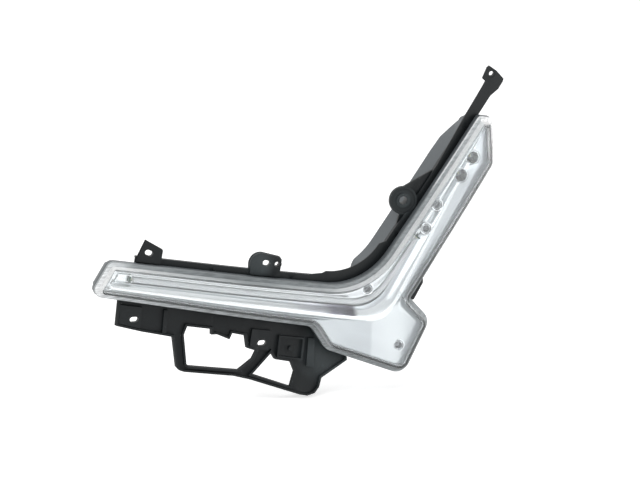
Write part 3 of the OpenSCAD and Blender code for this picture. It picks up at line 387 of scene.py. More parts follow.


# Places of painted sheen on the frame, paler patches that stand for light falling on it, as centres in metres and
# reaches in millimetres: the main lug, the lower bracket's right part and the upper ear
PAINTED_SHEEN_SPOTS = ((0, -0.012, 0), 24), ((-0.088, -0.03, -0.152), 42), ((-0.166, -0.03, -0.052), 20)


def black_polypropylene(colours):
    """Talc-filled polypropylene, moulded: near black with a satin, slightly grainy skin, and painted sheen, paler
    patches that stand for light on the lug, the lower bracket and the upper ear.
    """
    material, tree, shader, place = new_material("black_polypropylene")
    moulded_grain(tree, shader, place, 0.6, 0.3, tuple(colours.frame_dark), tuple(colours.frame_light))
    base = shader.inputs["Base Color"].links[0].from_socket
    # painted sheen: each spot blends the colour towards the paler sheen colour near its centre
    for spot, reach in PAINTED_SHEEN_SPOTS:
        far = add(tree, "ShaderNodeVectorMath", {0: place}, operation="DISTANCE")
        far.inputs[1].default_value = spot
        near = add(tree, "ShaderNodeMapRange", {"Value": far.outputs["Value"]}, interpolation_type="SMOOTHSTEP")
        near.inputs["From Min"].default_value = reach * MM
        near.inputs["From Max"].default_value = reach * MM * 0.4
        shade = add(tree, "ShaderNodeMix", {"Factor": near.outputs["Result"], "A": base}, data_type="RGBA")
        shade.inputs["B"].default_value = tuple(colours.frame_painted_sheen)
        base = shade.outputs["Result"]
    tree.links.new(base, shader.inputs["Base Color"])
    shader.inputs["Roughness"].default_value = 0.46
    shader.inputs["IOR"].default_value = 1.49
    shader.inputs["Specular IOR Level"].default_value = 0.28
    return material


def grey_polypropylene(colours):
    """The housing's moulded polypropylene: mid grey, smoother than the frame."""
    material, tree, shader, place = new_material("grey_polypropylene")
    moulded_grain(tree, shader, place, 0.8, 0.2, tuple(colours.housing_dark), tuple(colours.housing_light), 9.0)
    shader.inputs["Roughness"].default_value = 0.4
    shader.inputs["IOR"].default_value = 1.49
    return material


def clear_polycarbonate(colours):
    """Hard-coated polycarbonate, moulded and polished: clear, with crisp highlights and a faint milky veil."""
    material, tree, shader, place = new_material("clear_polycarbonate")
    # flow waves about 30 mm long
    waves = add(tree, "ShaderNodeTexNoise", {"Vector": place}, in_Scale=1000 / 30, in_Detail=1.0)
    bump = add(tree, "ShaderNodeBump", {"Height": waves.outputs["Fac"]}, in_Strength=0.25, in_Distance=0.0004)
    tree.links.new(bump.outputs["Normal"], shader.inputs["Normal"])
    shader.inputs["Base Color"].default_value = tuple(colours.lens)
    shader.inputs["Roughness"].default_value = 0.02
    # less than the real 1.58, so that the thin shell mirrors no more than the real one seems to
    shader.inputs["IOR"].default_value = 1.2
    shader.inputs["Transmission Weight"].default_value = 0.92
    return material


def along_x(tree, place, stops):
    """Colours along the lamp, which paint light and shade along it, from (millimetres along X, sRGB hex) pairs with
    smooth steps between.
    """
    parts = add(tree, "ShaderNodeSeparateXYZ", {"Vector": place})
    low, high = stops[0][0], stops[-1][0]
    spread = add(tree, "ShaderNodeMapRange", {"Value": parts.outputs["X"]})
    spread.inputs["From Min"].default_value = low * MM
    spread.inputs["From Max"].default_value = high * MM
    ramp = add(tree, "ShaderNodeValToRGB", {"Fac": spread.outputs["Result"]})
    ramp.color_ramp.interpolation = "EASE"
    # a new ramp has a stop at either end
    elements = ramp.color_ramp.elements
    for x, hex_colour in stops:
        at = (x - low) / (high - low)
        stop = elements[0] if x == low else elements[-1] if x == high else elements.new(at)
        stop.position = at
        stop.color = linear(hex_colour)
    return ramp.outputs["Color"]


def moulded_edge(name, stops, contrast, transmission):
    """Polycarbonate seen edge on, with flow streaks along the lower arm; its grey and pale bands along the lamp are
    painted shade and painted light.
    """
    material, tree, shader, place = new_material(name)
    base = along_x(tree, place, stops)
    # streaks 1.6 mm wide and eight times as long, tilted with the lower arm
    stretch = add(tree, "ShaderNodeMapping", {"Vector": place})
    stretch.inputs["Rotation"].default_value = (0, math.radians(-LEFT_TILT), 0)
    stretch.inputs["Scale"].default_value = (0.12, 1.0, 1.0)
    streak = add(tree, "ShaderNodeTexNoise", {"Vector": stretch.outputs["Vector"]}, in_Scale=1000 / 1.6, in_Detail=3.0)
    spread = add(tree, "ShaderNodeMapRange", {"Value": streak.outputs["Fac"]})
    spread.inputs["From Min"].default_value = 0.36
    spread.inputs["From Max"].default_value = 0.64
    spread.inputs["To Min"].default_value = 1 - contrast
    spread.inputs["To Max"].default_value = 1 + contrast
    shade = add(tree, "ShaderNodeVectorMath", {0: base, "Scale": spread.outputs["Result"]}, operation="SCALE")
    tree.links.new(shade.outputs["Vector"], shader.inputs["Base Color"])
    bump = add(tree, "ShaderNodeBump", {"Height": streak.outputs["Fac"]}, in_Strength=0.06, in_Distance=0.0003)
    tree.links.new(bump.outputs["Normal"], shader.inputs["Normal"])
    shader.inputs["Roughness"].default_value = 0.3
    shader.inputs["IOR"].default_value = 1.45
    shader.inputs["Transmission Weight"].default_value = transmission
    return material


def inner_foot(colours):
    """The lens's foot along the inner edge: painted shade, grey beside the dark frame, and painted light, paler at
    both ends.
    """
    stops = ((-345, "#f1f3f4"), (-326, "#d3d6d8"), (-300, "#8f9496"), (-220, "#7b8082"), (-120, "#7e8385"),
             (-60, "#8f9496"), (10, "#a0a5a7"), (110, "#ccd0d2"))
    return moulded_edge("inner_foot", stops, 0.18, 0.04)


def inner_wall(colours):
    """The side wall along the inner edge: a grey band of painted shade on the lower arm that clears towards both ends.
    """
    stops = ((-345, "#fafbfb"), (-310, "#eceeef"), (-250, "#c2c6c8"), (-180, "#a5aaac"), (-110, "#b4b8ba"),
             (-60, "#d9dcde"), (0, "#e2e5e6"), (110, "#eaedee"))
    return moulded_edge("inner_wall", stops, 0.12, 0.12)


def outer_foot(colours):
    """The lens's foot along the outer edge, hatched with flow lines on the lower arm, grey there in painted shade and
    pale on the upper one in painted light.
    """
    stops = ((-345, "#f1f3f4"), (-310, "#c7cbcd"), (-200, "#aeb2b4"), (-110, "#9da2a4"), (22, "#a0a5a7"),
             (38, "#f1f3f4"), (110, "#fafbfb"))
    return moulded_edge("outer_foot", stops, 0.26, 0.04)


def outer_wall(colours):
    """The side wall along the outer edge, pale and lightly hatched, a little greyer on the lower arm in painted shade.
    """
    stops = ((-345, "#fafbfb"), (-250, "#d9dcde"), (-120, "#d9dcde"), (22, "#dcdfe1"), (38, "#f6f7f8"),
             (110, "#fdfdfd"))
    return moulded_edge("outer_wall", stops, 0.16, 0.15)


def thin_edge(colours):
    """The rim of the foot, a thin outline of painted shade: grey on the lower arm and the lobe, pale beside the upper
    arm.
    """
    stops = ((-345, "#a9aeb0"), (-300, "#8b9092"), (-100, "#6f7476"), (22, "#8b9092"), (38, "#e9ebec"),
             (110, "#f1f3f4"))
    return moulded_edge("thin_edge", stops, 0.1, 0.05)


def clear_acrylic(colours):
    """Cast acrylic of the light guide: clear, and faintly milky from the prisms cut in its back."""
    material, tree, shader, place = new_material("clear_acrylic")
    shader.inputs["Base Color"].default_value = linear("#f2f4f5")
    ribs = add(tree, "ShaderNodeTexNoise", {"Vector": place}, in_Scale=1000 / 6, in_Detail=2.0)
    bump = add(tree, "ShaderNodeBump", {"Height": ribs.outputs["Fac"]}, in_Strength=0.2, in_Distance=0.0004)
    tree.links.new(bump.outputs["Normal"], shader.inputs["Normal"])
    shader.inputs["Roughness"].default_value = 0.2
    shader.inputs["IOR"].default_value = 1.49
    shader.inputs["Transmission Weight"].default_value = 0.3
    return material


def metallised(name, stops, roughness):
    """Vacuum-metallised plastic: a bright, satin mirror with soft sink marks about 22 mm across, whose tint along the
    lamp paints light and shade.
    """
    material, tree, shader, place = new_material(name)
    tree.links.new(along_x(tree, place, stops), shader.inputs["Base Color"])
    sinks = add(tree, "ShaderNodeTexNoise", {"Vector": place}, in_Scale=1000 / 22, in_Detail=1.5)
    bump = add(tree, "ShaderNodeBump", {"Height": sinks.outputs["Fac"]}, in_Strength=0.35, in_Distance=0.001)
    tree.links.new(bump.outputs["Normal"], shader.inputs["Normal"])
    shader.inputs["Metallic"].default_value = 1.0
    shader.inputs["Roughness"].default_value = roughness
    return material


def metallised_plastic(colours):
    """The trim's rim and groove, in painted light bright on the lower arm and in painted shade softer on the upper
    one.
    """
    stops = ((-345, "#fbfcfc"), (-100, "#fbfcfc"), (-40, "#f4f6f7"), (0, "#e9ebec"), (110, "#e2e5e6"))
    return metallised("metallised_plastic", stops, 0.26)


def metallised_face(colours):
    """The outer slope and the lobe with its crease, a little softer than the rim, greyer in painted shade on the lower
    arm near the elbow and along the upper arm.
    """
    stops = ((-345, "#f6f8f8"), (-200, "#eef0f1"), (-120, "#dcdfe1"), (-100, "#cfd3d5"), (-46, "#c7cbce"),
             (-41, "#dfe2e4"), (-20, "#e6e9ea"), (10, "#cfd3d5"), (110, "#c2c6c9"))
    return metallised("metallised_face", stops, 0.28)


def slope_painted_reflection(colours):
    """The foot of the blade's slope: a painted grey streak of shade, and a painted dark reflection of the opening
    beside the elbow.
    """
    stops = ((-345, "#e2e5e6"), (-270, "#cfd3d5"), (-150, "#d3d7d9"), (-112, "#c9c9cf"), (-84, "#6a6873"),
             (-66, "#34323e"), (-57, "#c2c6c9"), (0, "#c2c6c9"), (110, "#b5babd"))
    return metallised("slope_painted_reflection", stops, 0.32)


def rise_painted_reflection(colours):
    """The rest of that slope, bright but for a painted reflection, a dark triangle beside the elbow, and greyer on the
    upper arm in painted shade.
    """
    stops = ((-345, "#fbfcfc"), (-140, "#fbfcfc"), (-104, "#cfcfd5"), (-82, "#6a6874"), (-65, "#3a3844"),
             (-57, "#e9ebec"), (0, "#cbcfd1"), (110, "#c2c6c9"))
    return metallised("rise_painted_reflection", stops, 0.3)


def cup_painted_shade(colours):
    """The signal cups' inside: painted shade, darker than the trim, for a bowl that mirrors itself."""
    return metallised("cup_painted_shade", ((-345, "#a2a7aa"), (110, "#8f9598")), 0.16)


def plain_finish(name, hex_colour, roughness, metallic=0.0, grain_mm=0.4, depth=0.15):
    """A finish with a fine surface grain of its own size and slightly uneven shade."""
    material, tree, shader, place = new_material(name)
    base = linear(hex_colour)
    moulded_grain(tree, shader, place, grain_mm, depth, tuple(c * 0.88 for c in base[:3]) + (1.0,), base, 60.0)
    shader.inputs["Roughness"].default_value = roughness
    shader.inputs["Metallic"].default_value = metallic
    return material


FINISHES = {}
MAKERS = {
    "clear_polycarbonate": clear_polycarbonate,
    "inner_foot": inner_foot,
    "inner_wall": inner_wall,
    "outer_foot": outer_foot,
    "thin_edge": thin_edge,
    "outer_wall": outer_wall,
    "clear_acrylic": clear_acrylic,
    "aluminised_plastic": metallised_plastic,
    "metallised_face": metallised_face,
    "slope_painted_reflection": slope_painted_reflection,
    "rise_painted_reflection": rise_painted_reflection,
    "cup_painted_shade": cup_painted_shade,
    "black_polypropylene": black_polypropylene,
    "grey_housing_plastic": grey_polypropylene,
    # uncoated polycarbonate of the trim's sides: pale and satin
    "uncoated_side": lambda colours: plain_finish("uncoated_polycarbonate", "#eceeef", 0.5),
    # moulded ABS: satin, nearly black
    "driver_plastic": lambda colours: plain_finish("black_abs", "#1c1d1f", 0.45),
    # die-cast aluminium: pale grey with a sandy skin
    "die_cast_aluminium": lambda colours: plain_finish("die_cast_aluminium", "#b9bbbe", 0.42, 1.0, 0.6, 0.4),
    # zinc-plated steel: bright with a bluish, fine-grained plating
    "zinc_plated_steel": lambda colours: plain_finish("zinc_plated_steel", "#a9abad", 0.3, 1.0, 0.2, 0.1),
    # black-passivated zinc: dark and satin
    "black_zinc": lambda colours: plain_finish("black_zinc", "#24272a", 0.4, 1.0, 0.2, 0.1),
    # moulded rubber: black and matt
    "sealing_rubber": lambda colours: plain_finish("sealing_rubber", "#141414", 0.7),
    # solder resist over glass fibre: green with a soft gloss
    "circuit_board": lambda colours: plain_finish("solder_resist", "#1d4a33", 0.3),
    # moulded resin of an unlit lamp package: pale with a waxy gloss
    "led_package": lambda colours: plain_finish("led_resin", "#d9d5b8", 0.25),
    # tinned brass: pale gold, drawn and plated
    "tinned_brass": lambda colours: plain_finish("tinned_brass", "#cbb676", 0.3, 1.0),
}


def finish(slot):
    """The material of a record slot, or of a face of the lens, trim or cups, made once."""
    if slot not in FINISHES:
        FINISHES[slot] = MAKERS[slot](bpy.context.scene.lamp_colours)
    return FINISHES[slot]


# Lens

# Finishes of the lens, and which of them each kind of band has beside the inner edge and beside the outer one
LENS_FINISHES = ("clear_polycarbonate", "inner_wall", "inner_foot", "outer_wall", "outer_foot", "thin_edge")
CLEAR, WALL, FOOT, EDGE = (0, 0), (1, 3), (2, 4), (5, 5)
# Strips across the lens's face
LENS_STRIPS = 18


def make_lens(sizes):
    """The clear cover: a crowned face, rounded shoulders, side wall, foot and tongue."""
    foot, wall = mm(sizes.lens_foot), mm(sizes.lens_wall)
    rise, crown = mm(sizes.lens_rise), mm(sizes.lens_crown)

    def face(inset, depth):
        """Rows of a face that crowns forwards between its edges."""
        rows = []
        for row in plain_net(inset, LENS_STRIPS):
            across = [j / LENS_STRIPS for j in range(LENS_STRIPS + 1)]
            rows.append([sunk(p, depth - crown * 4 * f * (1 - f)) for f, p in zip(across, row)])
        return rows

    # Rings of the section, from the face round to the back: the finish of the band before the ring, then the ring's
    # inset and depth
    section = [
        (CLEAR, foot + 2.0, -rise - 1.2), (CLEAR, foot + 1.4, -rise - 0.7), (CLEAR, foot + 1.05, -rise + 0.1),
        (WALL, foot + 0.9, -rise + 1.4), (WALL, foot, -3.5),
        (FOOT, foot - 0.3, -3.05), (FOOT, foot - 0.8, -3), (FOOT, 0.5, -3),
        (EDGE, 0.14, -2.85), (EDGE, 0.02, -2.4), (EDGE, 0.02, 0),
        (EDGE, 2, 0), (EDGE, 2, 5), (EDGE, 4, 5), (EDGE, 4, 0), (EDGE, foot + wall, 0),
        (WALL, foot + wall + 0.9, -rise + wall + 0.6)]
    front, back = face(foot + 2.6, -rise - 1.4), face(foot + wall + 2.4, -rise + wall - 1.4)
    loops = [border(front)]
    loops += [[sunk(p, depth) for p in border(plain_net(inset, LENS_STRIPS))] for _, inset, depth in section]
    loops.append(border(back))
    bands = [band for band, _, _ in section] + [CLEAR]
    inner = len(front) - 1
    bm = bmesh.new()
    grid(bm, front)
    grid(bm, back)
    rings(bm, loops, lambda k, i: bands[k][0 if i < inner else 1])
    bmesh.ops.remove_doubles(bm, verts=bm.verts, dist=0.001)
    return new_piece("lens_cover", bm, [finish(f) for f in LENS_FINISHES], ["outer_lens"], 50)


# Trim

# Finishes of the trim, and the columns of its net at which they change: the slope's foot, the rest of the slope, the
# blade's crown, which has the rim's finish, and the outer slope with the lobe
# the slope's two finishes carry a painted grey streak of shade and a painted dark reflection beside the elbow
TRIM_FINISHES = ("aluminised_plastic", "slope_painted_reflection", "rise_painted_reflection", "metallised_face", "uncoated_side")
SLOPE_FOOT, SLOPE_RISE, CROWN, OUTER_FACE = 16, 22, 29, 35
# Width of the groove's walls, and the bends of its inner wall, its outer wall and the blade
GROOVE_WALL, INNER_BEND_R, OUTER_BEND_R, BLADE_BEND_R = 0.8, 44, 40, 36
# Steps between the trim's lanes, the lanes' finely stepped ends, and the longest step along them, which is measured
# on one column
LANE_STEPS = (8, 2, 6, 2, 12, 4, 12, 12)
LANE_END, TRIM_STEP, STEP_COLUMN = 9, 3.5, 20
# Radius of the opening that a screw eye fills
EYE_R = 5.3


def lane(across_l, across_r, r, start, end):
    """A lane along both arms: its place across each arm, its bend's radius, and its ends."""
    bend = meet(on_lower(0, across_l), LOWER_DIR, on_upper(0, across_r), UPPER_DIR)
    arc = rounded(bend, (bend - start).normalized(), (end - bend).normalized(), r, ELBOW_STEPS)
    near = start + (arc[0] - start).normalized() * LANE_END
    far = end + (arc[-1] - end).normalized() * LANE_END
    return ([start] + between(start, near, FINE - 1) + [near] + between(near, arc[0], LOWER_STEPS) + arc
            + between(arc[-1], far, UPPER_STEPS) + [far] + between(far, end, FINE - 1) + [end])


def across_at(s, t, w):
    """The point between s and t that lies w across the lower arm."""
    return s.lerp(t, (w - (s - ELBOW).dot(LOWER_ACROSS)) / (t - s).dot(LOWER_ACROSS))


def cup_places(sizes):
    """Plan points of the signal cups, from the tip down."""
    top = RIGHT_LEN - CUP_END
    return [on_upper(top - k * mm(sizes.cup_spacing), CUP_W) for k in range(sizes.cup_count)]


def trim_finish(column):
    """Which of the trim's finishes a column of its net has."""
    if column < SLOPE_FOOT or CROWN <= column < OUTER_FACE:
        return 0
    return 1 if column < SLOPE_RISE else 2 if column < CROWN else 3


def make_trim(sizes):
    """The metallised trim: rim, groove, blade, outer slope and lobe, with its screw eyes."""
    clear = mm(sizes.lens_foot) + mm(sizes.lens_wall) + mm(sizes.trim_gap)
    rim, blade_rise = mm(sizes.trim_rim), mm(sizes.blade_rise)
    # the groove's floor, and the outer faces of its two walls, across either arm
    floor_in, floor_out = mm(sizes.groove_place), mm(sizes.groove_place) + mm(sizes.groove_width)
    wall_in, wall_out = floor_in - GROOVE_WALL, floor_out + GROOVE_WALL
    inner, outer = inner_side(clear + 0.5), outer_side(clear + 0.5)
    # ends of the lanes: s to t across the lower arm's end, and u to v across the tip
    near, far = inner_side(clear + 1), outer_side(clear + 1)
    s, t, u, v = near[0], far[0], near[-1], far[-1]
    lanes = [lane(wall_in, wall_in, INNER_BEND_R, across_at(s, t, wall_in), u.lerp(v, 0.2)),
             lane(floor_in, floor_in, INNER_BEND_R, across_at(s, t, floor_in), u.lerp(v, 0.3)),
             lane(floor_out, floor_out, OUTER_BEND_R, across_at(s, t, floor_out), u.lerp(v, 0.5)),
             lane(wall_out, wall_out, OUTER_BEND_R, across_at(s, t, wall_out), u.lerp(v, 0.6)),
             lane(LEFT_ROOT_W * 0.69, RIGHT_ROOT_W * 0.72, BLADE_BEND_R, s.lerp(t, 0.8), u.lerp(v, 0.78)),
             lane(LEFT_ROOT_W * 0.74, RIGHT_ROOT_W * 0.77, BLADE_BEND_R, s.lerp(t, 0.88), u.lerp(v, 0.86))]
    columns = [inner] + lanes + [[p.lerp(q, 0.5) for p, q in zip(lanes[5], outer)], outer]
    last = len(inner) - 1
    walked = [0.0]
    for i in range(last):
        walked.append(walked[-1] + (lanes[1][i + 1] - lanes[1][i]).length)

    def depths(i):
        """Depths of the nine lanes at row i.

        Both ends close over 7 mm, the groove ends a little beyond the light guide, and the blade sinks over 50 mm.
        """
        along = (lanes[1][i] - ELBOW).dot(UPPER_DIR)
        open_end = smooth(min(walked[i], walked[-1] - walked[i]) / 7)
        groove = smooth((walked[i] - 3) / 6) * (1 - smooth((along - GUIDE_RIGHT_END - 8) / 6))
        deep = TRIM_FACE + (GROOVE_FLOOR - TRIM_FACE) * groove
        blade = TRIM_FACE - (blade_rise + TRIM_FACE) * smooth((BLADE_END - along) / 50)
        body = [-rim, -4.5, deep, deep, -4, blade, blade, (blade - 6) / 2 - 0.4, -6]
        shut = [-rim + (rim - 6) * j / 8 for j in range(9)]
        return [p + (q - p) * open_end for p, q in zip(shut, body)]

    def row(i):
        """The points of row i, rounded from lane to lane."""
        d = depths(i)
        points = [sunk(columns[0][i], d[0])]
        for j, n in enumerate(LANE_STEPS):
            for k in range(1, n + 1):
                f = k / n
                p = columns[j][i].lerp(columns[j + 1][i], f)
                points.append(sunk(p, d[j] + (d[j + 1] - d[j]) * smooth(f)))
        return points

    def finer(rows):
        """Splits the long steps of the straight parts."""
        out = [rows[0]]
        for this, following in zip(rows, rows[1:]):
            n = max(1, round((following[STEP_COLUMN] - this[STEP_COLUMN]).length / TRIM_STEP))
            out += [[p.lerp(q, k / n) for p, q in zip(this, following)] for k in range(1, n + 1)]
        return out

    holes = [(p, EYE_R) for p in TRIM_EYES] + [(p, mm(sizes.cup_diameter) / 2 + 1.1) for p in cup_places(sizes)]

    def stays(point):
        """Whether a face's middle lies outside the openings."""
        return all((Vector((point.x, point.z)) - p).length > r for p, r in holes)

    bm = bmesh.new()
    rows = finer([row(i) for i in range(last + 1)])
    grid(bm, rows, trim_finish, stays)
    skirt = border([[Vector((p.x, p.z)) for p in r] for r in rows])
    loops = [border(rows), [sunk(p, -4) for p in skirt], [sunk(p, TRIM_JOINT) for p in skirt]]
    side = TRIM_FINISHES.index("uncoated_side")
    rings(bm, loops, lambda k, i: side)
    for p in TRIM_EYES:
        # a screw eye: a flange on the trim's face, a sunk ring and a collar around the screw
        face = min(q.y - sweep(q.x) for r in rows for q in r if (Vector((q.x, q.z)) - p).length < 7)
        flange = [(7.0, face + 1.5), (6.6, face), (6.0, face - 0.3), (5.4, face)]
        ring = [(5.1, face + 2.6), (4.6, face + 2.8)]
        collar = [(4.4, face + 0.2), (4.1, face), (3.9, face), (3.8, face + 0.3)]
        bore = [(3.8, 1), (1.75, 1), (1.75, 4), (4.5, 4), (4.7, face + 3)]
        # the sunk ring and the bore take the slope's darker finish: painted shade in the recess
        revolved(bm, p, flange + ring + collar + bore, 40, lambda k: 0 if k < 3 or 6 <= k < 9 else 1)
    return new_piece("trim_moulding", bm, [finish(f) for f in TRIM_FINISHES], ["bright_trim"], 35)


# Light guide

# Its bend's radius, its clearance from the groove's floor, how far back its flat lies as a share of its radius, and
# the number of its sides
GUIDE_BEND_R, GUIDE_CLEAR, GUIDE_FLAT, GUIDE_SIDES = 42, 0.3, 0.86, 20


def make_guide(sizes):
    """The clear rod along the inner edge, with a flat of fine prisms along its back."""
    w = mm(sizes.groove_place) + mm(sizes.groove_width) / 2
    r = mm(sizes.guide_diameter) / 2
    depth = GROOVE_FLOOR - r - GUIDE_CLEAR
    start, end = on_lower(GUIDE_LEFT_END, w), on_upper(GUIDE_RIGHT_END, w)
    bend = meet(start, (on_lower(0, w) - start).normalized(), on_upper(0, w), UPPER_DIR)
    arc = rounded(bend, (bend - start).normalized(), UPPER_DIR, GUIDE_BEND_R, 40)
    path = [start] + between(start, arc[0], 60) + arc + between(arc[-1], end, 20) + [end]
    loops = []
    for i, c in enumerate(path):
        t = (path[min(len(path) - 1, i + 1)] - path[max(0, i - 1)]).normalized()
        side = right_of(t)
        loop = []
        for k in range(GUIDE_SIDES):
            a = 2 * math.pi * k / GUIDE_SIDES
            loop.append(sunk(c + side * r * math.cos(a), depth + r * min(math.sin(a), GUIDE_FLAT)))
        loops.append(loop)
    bm = bmesh.new()
    verts = rings(bm, loops, lambda k, i: 0)
    bm.faces.new(verts[0])
    bm.faces.new(verts[-1])
    return new_piece("guide_rod", bm, [finish("clear_acrylic")], ["light_guide"], 35)


# Signal cups

# Radius of the opening for the lamp, the bowls' rings, the flutes of a bowl and their depth as a share of its radius
OPENING_R, BOWL_RINGS, FLUTES, FLUTE_SHARE = 2.6, 12, 9, 0.045
# Front and back of the plate that joins the cups
PLATE_FRONT, PLATE_BACK = 6, 8


def make_cups(sizes):
    """The bright cups with their rims, on the plate that joins them."""
    r = mm(sizes.cup_diameter) / 2
    bm = bmesh.new()
    for p in cup_places(sizes):
        rim = [(r + 2.1, -5.2), (r + 2.1, -5.7), (r + 1.4, -6.3), (r + 0.8, -6.9), (r + 0.5, CUP_FRONT),
               (r + 0.1, CUP_FRONT)]
        bowl = []
        for k in range(BOWL_RINGS + 1):
            left = 1 - k / BOWL_RINGS
            bowl.append((OPENING_R + (r - OPENING_R) * left, CUP_FRONT + (CUP_BACK - CUP_FRONT) * (1 - left ** 2)))
        # bright on the rim and at the bowl's bottom, darker between in painted shade
        revolved(bm, p, rim + bowl, 72, lambda k: 0 if k < 7 or k > 15 else 1, FLUTE_SHARE, FLUTES)
        revolved(bm, p, [(r + 0.9, -5.5), (r + 0.9, CUP_BACK), (OPENING_R, CUP_BACK + 0.2)])
    middle = on_upper(RIGHT_LEN - CUP_END - (sizes.cup_count - 1) * mm(sizes.cup_spacing) / 2, CUP_W)
    half_l, half_w = ((sizes.cup_count - 1) * mm(sizes.cup_spacing) + 2 * r + 6) / 2, r + 2.9
    signs = ((-1, -1), (1, -1), (1, 1), (-1, 1))
    plate = [middle + UPPER_DIR * a * half_l + UPPER_ACROSS * b * half_w for a, b in signs]
    rings(bm, [[sunk(p, depth) for p in plate] for depth in (PLATE_FRONT, PLATE_BACK)], lambda k, i: 0)
    for depth in (PLATE_FRONT, PLATE_BACK):
        bm.faces.new([bm.verts.new(sunk(p, depth)) for p in plate])
    return new_piece("signal_cups", bm, [finish("aluminised_plastic"), finish("cup_painted_shade")],
                     ["signal_reflector"], 35)


# Nodes that come over from the model

# Nodes whose edges are rounded, with the share of the edge softness that each gets
SOFTENED = {"mounting_frame": 1.0, "housing": 0.8, "driver_case": 0.6, "driver_cover": 0.6, "heat_sink": 0.5,
            "left_vent_cap": 0.6, "right_vent_cap": 0.6}


def dress_node(entry, softness):
    """Gives a node its finish, joined and smoothed faces, and where it is moulded or cast, rounded edges."""
    name = entry["node"]
    piece = NODES[name]
    piece.data.materials.clear()
    piece.data.materials.append(finish("black_zinc" if name == "frame_screws" else entry["material_slot"]))
    piece.data.polygons.foreach_set("material_index", [0] * len(piece.data.polygons))
    piece.data.polygons.foreach_set("use_smooth", [True] * len(piece.data.polygons))
    weld = piece.modifiers.new("weld", "WELD")
    weld.merge_threshold = 0.01 * MM
    if name in SOFTENED:
        bevel = piece.modifiers.new("bevel", "BEVEL")
        bevel.width = softness * SOFTENED[name]
        bevel.segments = 2
        bevel.limit_method = "ANGLE"
        bevel.angle_limit = math.radians(38)
    piece.data.set_sharp_from_angle(angle=math.radians(30))


# Stage

def by_ray(tree, other, seen):
    """One strength for what the camera, a mirror or a clear surface shows, and another for light on the lamp."""
    path = add(tree, "ShaderNodeLightPath")
    shown = path.outputs["Is Camera Ray"]
    for ray in ("Is Glossy Ray", "Is Transmission Ray"):
        shown = add(tree, "ShaderNodeMath", {0: shown, 1: path.outputs[ray]}, operation="MAXIMUM").outputs[0]
    strength = add(tree, "ShaderNodeMath", {0: shown}, operation="MULTIPLY_ADD")
    strength.inputs[1].default_value = seen - other
    strength.inputs[2].default_value = other
    return strength.outputs[0]


def make_floor():
    """A plain pale floor: it stays white to the camera and keeps the lamp's shadow."""
    low, half = CAD_LOW.z - 2 * MM, 4
    corners = [(-half, -half, low), (half, -half, low), (half, half, low), (-half, half, low)]
    mesh = bpy.data.meshes.new("floor")
    mesh.from_pydata(corners, [], [(0, 1, 2, 3)])
    floor = bpy.data.objects.new("floor", mesh)
    bpy.context.scene.collection.objects.link(floor)
    material, tree, shader, _ = new_material("pale_floor")
    shader.inputs["Base Color"].default_value = linear("#f4f4f4")
    shader.inputs["Roughness"].default_value = 0.8
    shader.inputs["Specular IOR Level"].default_value = 0.0
    shader.inputs["Emission Color"].default_value = (1, 1, 1, 1)
    tree.links.new(by_ray(tree, 0.0, 0.5), shader.inputs["Emission Strength"])
    mesh.materials.append(material)


def make_world():
    """A white room: full white to the camera and in reflections, softer as light on the lamp."""
    world = bpy.data.worlds.new("studio")
    bpy.context.scene.world = world
    world.use_nodes = True
    tree = world.node_tree
    tree.nodes.clear()
    white = add(tree, "ShaderNodeBackground", {"Strength": by_ray(tree, 0.55, 1.0)}, in_Color=(1, 1, 1, 1))
    add(tree, "ShaderNodeOutputWorld", {"Surface": white.outputs[0]})


def make_lamps():
    """Three large soft lamps, with their places and widths in metres and their power in watts."""
    aim = Vector((-0.1, 0, -0.05))
    for name, place, power, width in (
        ("key", (-1.2, -1.8, 1.8), 26, 1.4),
        ("fill", (1.8, -1.6, 0.6), 14, 1.6),
        ("top", (0.0, 0.8, 2.2), 14, 1.8),
    ):
        lamp = bpy.data.lights.new(name, "AREA")
        lamp.energy = power
        lamp.size = width
        thing = bpy.data.objects.new(name, lamp)
        thing.location = place
        thing.rotation_euler = (aim - Vector(place)).to_track_quat("-Z", "Y").to_euler()
        bpy.context.scene.collection.objects.link(thing)


# The photograph's width in pixels, the size of a pixel in millimetres, and where the middle of the picture lies from
# the main lug, to the right and up
PHOTO_WIDTH, PIXEL, MIDDLE_RIGHT, MIDDLE_UP = 640, 1.05, -87.7, -41.9
SENSOR = 36


def make_camera():
    """A long lens at the photograph's angle: 15 degrees round to the left and 12 above."""
    azimuth, elevation, distance = math.radians(-15), math.radians(12), 24.0
    right = Vector((math.cos(azimuth), math.sin(azimuth), 0))
    level = Vector((math.sin(azimuth), -math.cos(azimuth), 0))
    back = level * math.cos(elevation) + Vector((0, 0, math.sin(elevation)))
    target = (right * MIDDLE_RIGHT + back.cross(right) * MIDDLE_UP) * MM
    camera = bpy.data.cameras.new("camera")
    camera.sensor_width = SENSOR
    camera.lens = SENSOR * distance / (PHOTO_WIDTH * PIXEL * MM)
    camera.clip_end = 50
    thing = bpy.data.objects.new("camera", camera)
    thing.location = target + back * distance
    thing.rotation_euler = (-back).to_track_quat("-Z", "Y").to_euler()
    bpy.context.scene.collection.objects.link(thing)
    bpy.context.scene.camera = thing
    bpy.context.scene.view_settings.view_transform = "Standard"


# Operators

class LAMP_OT_lens(bpy.types.Operator):
    """Make the clear lens with its scattering edge"""
    bl_idname = "lamp.lens"
    bl_label = "Lens"

    def execute(self, context):
        make_lens(context.scene.lamp_sizes)
        return {"FINISHED"}


class LAMP_OT_trim(bpy.types.Operator):
    """Make the metallised trim behind the lens"""
    bl_idname = "lamp.trim"
    bl_label = "Bright trim"

    def execute(self, context):
        make_trim(context.scene.lamp_sizes)
        return {"FINISHED"}


class LAMP_OT_guide(bpy.types.Operator):
    """Make the light guide in the trim's groove"""
    bl_idname = "lamp.guide"
    bl_label = "Light guide"

    def execute(self, context):
        make_guide(context.scene.lamp_sizes)
        return {"FINISHED"}


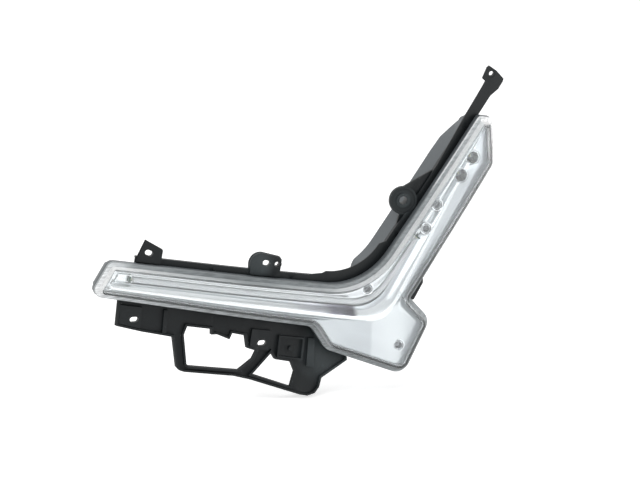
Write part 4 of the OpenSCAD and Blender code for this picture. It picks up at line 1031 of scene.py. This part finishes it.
class LAMP_OT_cups(bpy.types.Operator):
    """Make the signal cups in the upper arm"""
    bl_idname = "lamp.cups"
    bl_label = "Signal cups"

    def execute(self, context):
        make_cups(context.scene.lamp_sizes)
        return {"FINISHED"}


class LAMP_OT_nodes(bpy.types.Operator):
    """Give the frame, housing, driver, boards, seals and screws their finishes"""
    bl_idname = "lamp.nodes"
    bl_label = "Mouldings and hardware"

    def execute(self, context):
        for entry in frame["record"]["subparts"]:
            dress_node(entry, context.scene.lamp_sizes.edge_softness)
        return {"FINISHED"}


class LAMP_OT_stage(bpy.types.Operator):
    """Make the camera, floor, world and lamps"""
    bl_idname = "lamp.stage"
    bl_label = "Stage"

    def execute(self, context):
        make_camera()
        make_floor()
        make_world()
        make_lamps()
        return {"FINISHED"}


class LAMP_PT_panel(bpy.types.Panel):
    """Lists the lamp's pieces, sizes and colours"""
    bl_idname = "LAMP_PT_panel"
    bl_label = "Daytime Running Light"
    bl_space_type = "VIEW_3D"
    bl_region_type = "UI"
    bl_category = "Running Light"

    def draw(self, context):
        layout = self.layout
        for operator in STEPS:
            layout.operator(operator.bl_idname)
        for group in (context.scene.lamp_sizes, context.scene.lamp_colours):
            box = layout.box()
            for name in group.__annotations__:
                box.prop(group, name)


STEPS = (LAMP_OT_stage, LAMP_OT_nodes, LAMP_OT_trim, LAMP_OT_guide, LAMP_OT_cups, LAMP_OT_lens)
CLASSES = (LampSizes, LampColours) + STEPS + (LAMP_PT_panel,)


def register():
    for cls in CLASSES:
        bpy.utils.register_class(cls)
    bpy.types.Scene.lamp_sizes = PointerProperty(type=LampSizes)
    bpy.types.Scene.lamp_colours = PointerProperty(type=LampColours)


def unregister():
    del bpy.types.Scene.lamp_sizes
    del bpy.types.Scene.lamp_colours
    for cls in reversed(CLASSES):
        bpy.utils.unregister_class(cls)


def main():
    register()
    bpy.ops.lamp.stage()
    bpy.ops.lamp.nodes()
    bpy.ops.lamp.trim()
    bpy.ops.lamp.guide()
    bpy.ops.lamp.cups()
    bpy.ops.lamp.lens()


if __name__ == "__main__":
    main()
